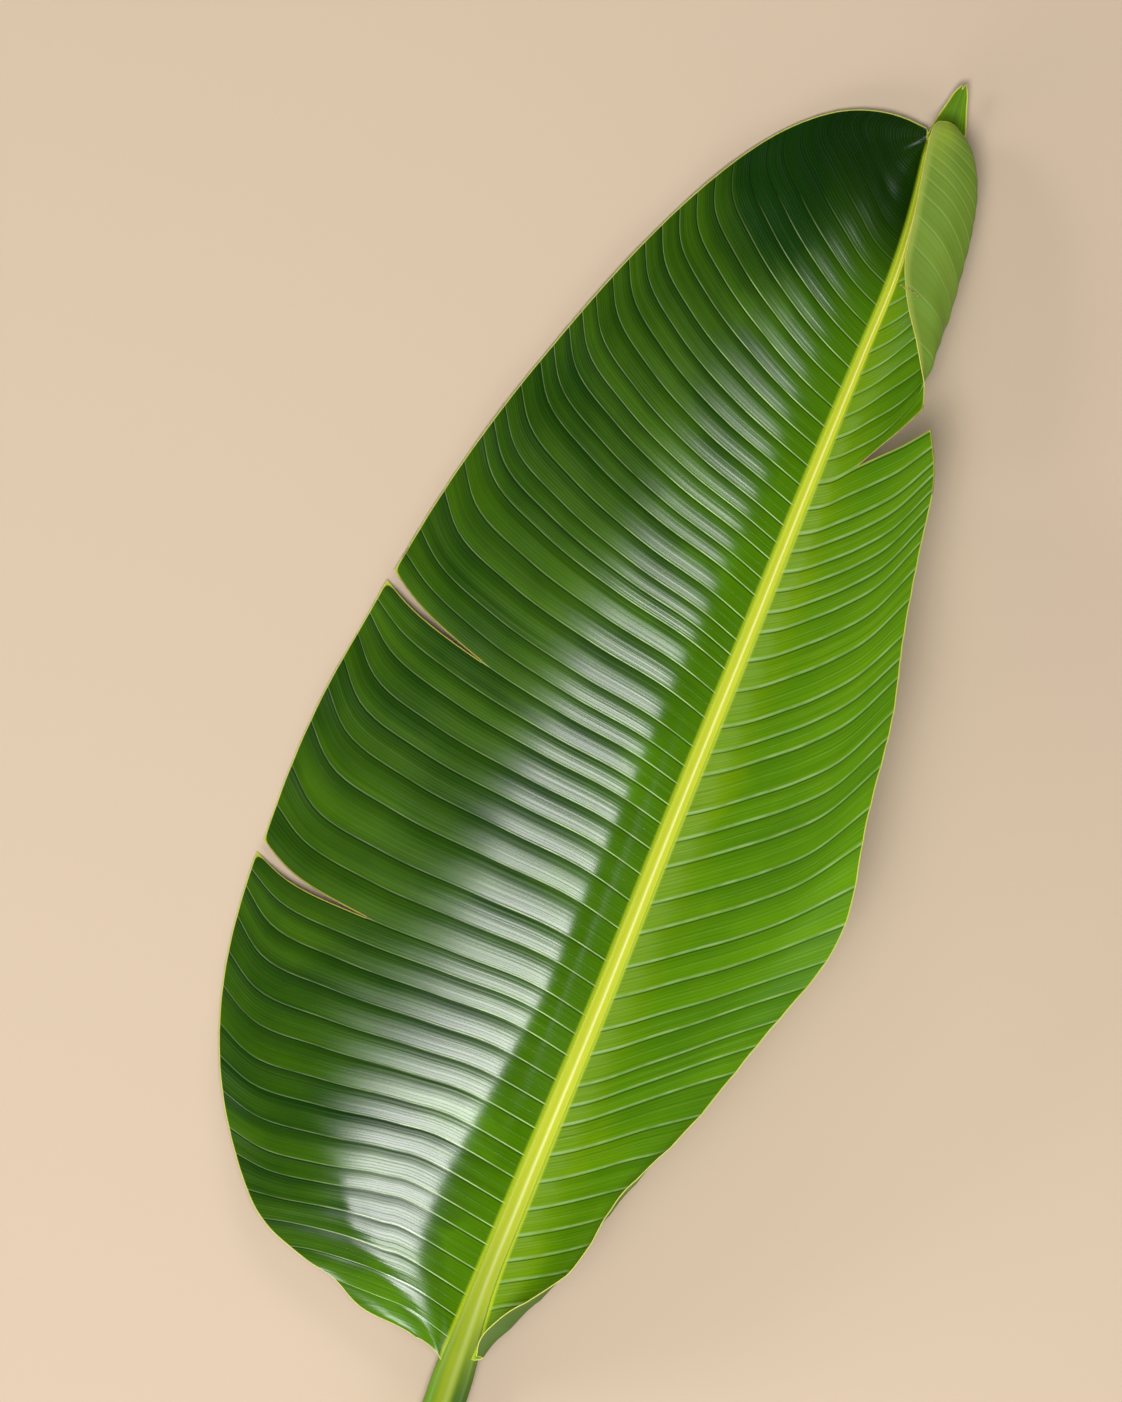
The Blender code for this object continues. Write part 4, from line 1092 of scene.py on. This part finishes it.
margin = made_object("leaf_margin", parts["points"], parts["faces"].tolist(), [edge_thread],
                     {"along": parts["along"], "torn": parts["torn"]})

# %% [markdown]
# ## Joining the pieces to the frame
#
# Every piece rides on the leaf's body, and the solid leaf that the pieces stand for is hidden. The
# pieces are made in place, so nothing has to be moved here.

# %% Ride and replace
for piece, finish_slot in ((broad, "blade"), (narrow, "blade"), (tongue, "blade"), (midrib, "midrib"),
                           (margin, "margin")):
    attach(piece, "root")
    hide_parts("leaf")
print("five pieces ride on the leaf's body")

# %% [markdown]
# ## The floor
#
# The photograph's wall is left out. A plain warm floor under the leaf takes its soft shadows and
# keeps the attention on it.

# %% The pale floor
FLOOR_REACH = 8.0
floor_finish = Finish("pale floor")
floor_finish.set(Base_Color=(0.60, 0.47, 0.34), Roughness=0.9)
corners = np.array([(-1, -1, 0), (1, -1, 0), (1, 1, 0), (-1, 1, 0)]) * FLOOR_REACH
floor = made_object("floor", corners, [(0, 1, 2, 3)], [floor_finish.material])

# %% [markdown]
# ## Light
#
# The wax mirrors one soft window: its reflection is the bright band beside the midrib. One large
# light would give a hard white patch, so the window is made of panes that grow dimmer toward its
# left and its far end. Four weak fills keep the sides from going black; the one at the stalk is
# low, so the waves at the base do not mirror it.

# %% Soft lights
WINDOW_TURN = -0.42
WINDOW_MIDDLE = (-0.05, -0.38, 2.6)
PANE_COLUMNS = [(-0.10, 0.45, 1.0), (-0.30, -0.10, 0.60), (-0.55, -0.30, 0.28), (-0.90, -0.55, 0.10)]
PANE_ROWS = [(-0.70, -0.25, 15.0), (-0.25, 0.30, 20.0), (0.30, 0.56, 17.0), (0.56, 0.82, 9.0),
             (0.82, 1.10, 2.5)]
FILLS = [("stalk", (-0.3, -3.6, 0.8), (4.6, 1.4), 180.0), ("apex", (-0.3, 3.0, 1.7), (2.6, 1.0), 26.0),
         ("left", (-2.9, 0.5, 1.6), (1.4, 0.9), 26.0), ("right", (2.6, 0.2, 1.0), (1.2, 2.0), 12.0)]
FILL_TARGET = (0.0, 0.3, 0.0)
AIR_COLOUR = (1.0, 0.98, 0.95, 1.0)
AIR_STRENGTH = 0.02


def soft_light(name, place, size, power, rotation):
    """Adds a rectangular light."""
    lamp = bpy.data.lights.new(name, "AREA")
    lamp.shape = "RECTANGLE"
    lamp.size, lamp.size_y = size
    lamp.energy = power
    holder = bpy.data.objects.new(name, lamp)
    bpy.context.collection.objects.link(holder)
    holder.location = place
    holder.rotation_euler = rotation


def facing_target(place, target):
    """Gives the rotation with which a light at a place faces its target."""
    away = np.array(place) - np.array(target)
    away = away / np.linalg.norm(away)
    return math.acos(away[2]), 0.0, math.atan2(away[1], away[0]) + math.pi / 2


cosine, sine = math.cos(WINDOW_TURN), math.sin(WINDOW_TURN)
for left_end, right_end, share in PANE_COLUMNS:
    for low_end, high_end, brightness in PANE_ROWS:
        wide, long = right_end - left_end, high_end - low_end
        shift_x, shift_y = (left_end + right_end) / 2, (low_end + high_end) / 2
        place = (WINDOW_MIDDLE[0] + shift_x * cosine - shift_y * sine,
                 WINDOW_MIDDLE[1] + shift_x * sine + shift_y * cosine, WINDOW_MIDDLE[2])
        power = share * brightness * math.pi * wide * long
        soft_light("window pane", place, (wide, long), power, (0.0, 0.0, WINDOW_TURN))
for name, place, size, power in FILLS:
    soft_light("fill from the " + name, place, size, power, facing_target(place, FILL_TARGET))
world = bpy.data.worlds.new("studio air")
bpy.context.scene.world = world
world.use_nodes = True
air = world.node_tree.nodes["Background"].inputs
air["Color"].default_value = AIR_COLOUR
air["Strength"].default_value = AIR_STRENGTH
bpy.context.scene.view_settings.view_transform = "Standard"
print("the window has", len(PANE_COLUMNS) * len(PANE_ROWS), "panes, and there are", len(FILLS), "fills")

# %% [markdown]
# ## The camera
#
# The photograph looks straight at the leaf, which leans to the right in it. The leaf keeps its
# place along +Y, so the camera turns instead. Its place comes from one measured pixel, where the
# blade begins, and from how many pixels the blade is long.

# %% The camera
LEAN = math.atan2(0.35852574, 0.93351984)
PICTURE_WIDTH, PICTURE_HEIGHT = 1122, 1402
PIXEL = BLADE_LENGTH / 1330.448
STALK_PIXEL = (450, 1372)
CAMERA_HEIGHT = 5.0
RIB_TOP = 0.014


def place_of_pixel(x, y):
    """Finds the point of the leaf's plan that the camera sees at a pixel of its picture."""
    right = x - STALK_PIXEL[0]
    up = STALK_PIXEL[1] - y
    across = right * math.cos(LEAN) - up * math.sin(LEAN)
    along = right * math.sin(LEAN) + up * math.cos(LEAN)
    return across * PIXEL, along * PIXEL


lens = bpy.data.cameras.new("overhead camera")
lens.sensor_fit = "VERTICAL"
lens.sensor_height = 36.0
lens.lens = lens.sensor_height * CAMERA_HEIGHT / (PICTURE_HEIGHT * PIXEL)
lens.clip_end = 50.0
camera = bpy.data.objects.new("overhead camera", lens)
camera.location = (*place_of_pixel(PICTURE_WIDTH / 2, PICTURE_HEIGHT / 2), CAMERA_HEIGHT + RIB_TOP)
camera.rotation_euler = (0.0, 0.0, LEAN)
bpy.context.collection.objects.link(camera)
bpy.context.scene.camera = camera
print("a", round(lens.lens), "mm lens,", CAMERA_HEIGHT, "m above the midrib")
